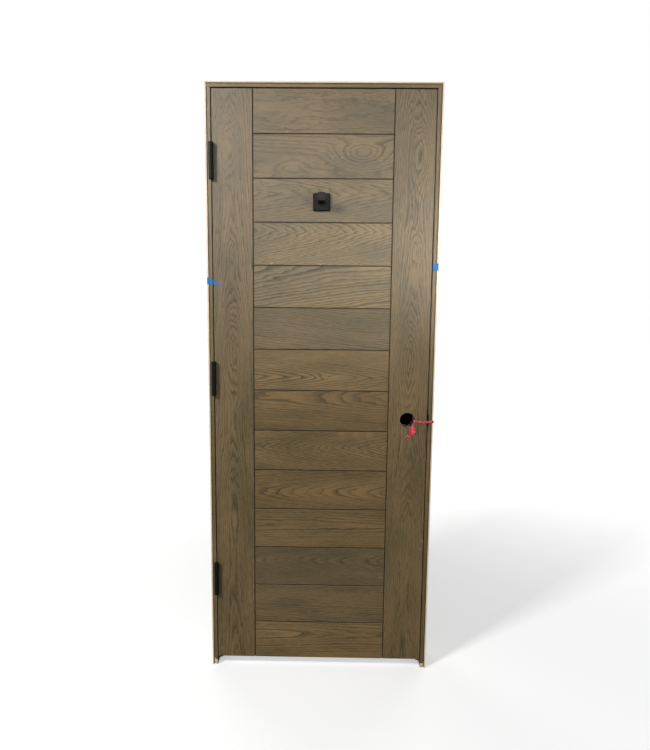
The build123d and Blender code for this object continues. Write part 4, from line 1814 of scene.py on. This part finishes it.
@dataclass
class Studio:
    """Floor, lights, background and camera, in metres, and a painted-shade card behind the cross
    bore in millimetres.
    """

    eye: Point = (0.4361, -1.9900, 1.3342)
    pitch: float = -6.734
    yaw: float = 0.681
    roll: float = -0.575
    lens: float = 26.4
    sensor: float = 36.0
    fill: float = 0.06
    floor_size: float = 40.0
    floor_colour: Colour = (0.80, 0.80, 0.79)
    floor_bounce: Colour = (0.50, 0.44, 0.35)
    floor_gloss: Colour = (0.04, 0.035, 0.03)
    floor_rough: float = 0.8
    floor_middle: Point = (0.4, 0.0, 0.0)
    floor_glow: tuple[float, ...] = (0.6, 4.5, 0.42, 1.0)
    room_gap: float = 0.1
    room_sides: int = 48
    shade_card_colour: Colour = (0.004, 0.004, 0.004)
    lights: tuple[Softbox, ...] = (
        Softbox("key_left", (-1.9, -2.1, 3.0), (0.3, 0.0, 1.3), (0.6, 0.6), 106.0),
        Softbox("front_high", (0.4, -2.9, 2.7), (0.4, 0.0, 1.5), (2.6, 1.2), 7.2,
                colour=(0.90, 1.0, 1.17)),
        Softbox("front_mid", (0.4, -3.2, 1.9), (0.4, 0.0, 1.5), (2.6, 0.8), 6.4,
                colour=(0.90, 1.0, 1.17)),
        Softbox("right_window", (2.0, -2.1, 2.3), (0.4, 0.0, 1.3), (0.8, 0.9), 11.0),
        Softbox("right_glow", (1.45, -0.95, 1.58), (0.62, -0.06, 1.56), (0.35, 0.35), 0.80, 50.0),
        Softbox("back_left", (-1.4, 2.6, 2.2), (0.4, 0.0, 1.1), (1.8, 1.4), 24.0),
        Softbox("back_right", (2.2, 2.6, 2.0), (0.4, 0.0, 1.1), (1.8, 1.4), 24.0),
    )

    def camera(self) -> None:
        """Sets the camera where the photograph was taken from."""
        turns = ((self.yaw, "Z"), (self.pitch, "X"), (self.roll, "Y"))
        yaw, pitch, roll = (Matrix.Rotation(math.radians(angle), 3, axis) for angle, axis in turns)
        right, forward, up = (yaw @ pitch @ roll).col
        data = bpy.data.cameras.new("camera")
        data.lens, data.sensor_width, data.sensor_fit = self.lens, self.sensor, "AUTO"
        camera = add_object("camera", data)
        spun = Matrix((right, up, -forward)).transposed()
        camera.matrix_world = Matrix.Translation(self.eye) @ spun.to_4x4()
        bpy.context.scene.camera = camera

    def light(self, box: Softbox) -> None:
        """Hangs one softbox.

        Args:
            box: The softbox.
        """
        data = bpy.data.lights.new(box.name, "AREA")
        data.shape, data.energy, data.spread = "RECTANGLE", box.power, math.radians(box.spread)
        data.size, data.size_y = box.size
        data.color = box.colour
        lamp = add_object(box.name, data)
        lamp.location = box.place
        aim = Vector(box.target) - Vector(box.place)
        lamp.rotation_euler = aim.to_track_quat("-Z", "Y").to_euler()

    def background(self) -> None:
        """White where the camera looks past the door, and a dim fill for everything else."""
        world = bpy.data.worlds.new("studio")
        bpy.context.scene.world = world
        world.use_nodes = True
        g = Graph(world.node_tree)
        seen = g.node("ShaderNodeLightPath").outputs["Is Camera Ray"]
        back = world.node_tree.nodes["Background"].inputs
        g.put(back["Strength"], g.fade(seen, self.fill, 1.0))
        g.put(back["Color"], WHITE)

    def floor(self) -> None:
        """A plain pale floor, brighter far off so that it meets the background."""
        half = self.floor_size / 2
        corners = [(-half, -half, 0.0), (half, -half, 0.0), (half, half, 0.0), (-half, half, 0.0)]
        g = Paint("floor_pale")
        rays = g.node("ShaderNodeLightPath").outputs
        seen = rays["Is Camera Ray"]
        far = g.span(g.vector("DISTANCE", g.place, self.floor_middle), *self.floor_glow)
        lit = g.blend(rays["Is Diffuse Ray"], self.floor_gloss, self.floor_bounce)
        g.put(g.shader["Base Color"], g.blend(seen, lit, self.floor_colour))
        g.put(g.shader["Roughness"], self.floor_rough)
        g.put(g.shader["Emission Color"], WHITE)
        g.put(g.shader["Emission Strength"], g.times(seen, far))
        add_object("floor", plain_mesh("floor", corners, [(0, 1, 2, 3)]), g.material)

    def painted_shade_card(self) -> None:
        """A black card behind the cross bore, seen only from the front: painted shade standing in
        for a dark room behind the bore.
        """
        reach = DOOR.bore - self.room_gap
        turns = [2 * math.pi * step / self.room_sides for step in range(self.room_sides)]
        points = [metres((DOOR.lock_x + reach * math.cos(turn), DOOR.leaf_back - self.room_gap,
                          DOOR.lock_z + reach * math.sin(turn))) for turn in turns]
        g = Paint("painted_shade_card")
        g.put(g.shader["Base Color"], self.shade_card_colour)
        g.put(g.shader["Specular IOR Level"], 0.0)
        behind = g.node("ShaderNodeNewGeometry").outputs["Backfacing"]
        g.put(g.shader["Alpha"], g.minus(1.0, behind))
        mesh = plain_mesh("painted_shade_card", points, [tuple(range(self.room_sides))])
        card = add_object("painted_shade_card", mesh, g.material)
        card.parent = frame["bodies"][Body.LEAF.value]

    def build(self) -> None:
        """Sets up the whole studio."""
        bpy.context.scene.view_settings.view_transform = "Standard"
        self.camera()
        self.background()
        self.floor()
        self.painted_shade_card()
        for box in self.lights:
            self.light(box)
        log.info("studio ready with %d lights", len(self.lights))


# ---- the whole door


def main() -> None:
    """Builds the studio and every sub-assembly."""
    logging.basicConfig(level=logging.INFO, format="%(name)s: %(message)s")
    Studio().build()
    CarriageTie(FilmFinish()).build()
    effects = Effects()
    oak = OakFinish()
    Leaf(oak).dress(effects)
    Jamb(oak).dress(effects)
    Hinges(CoatFinish("hinge_coat")).dress(effects)
    RobeHook(CoatFinish("hook_coat", (0.0138, 0.0138, 0.0086), grit=1100.0, gloss=0.22,
                        shine=0.24)).dress(effects)
    PaintersTape(TapeFinish()).build()


if __name__ == "__main__":
    main()
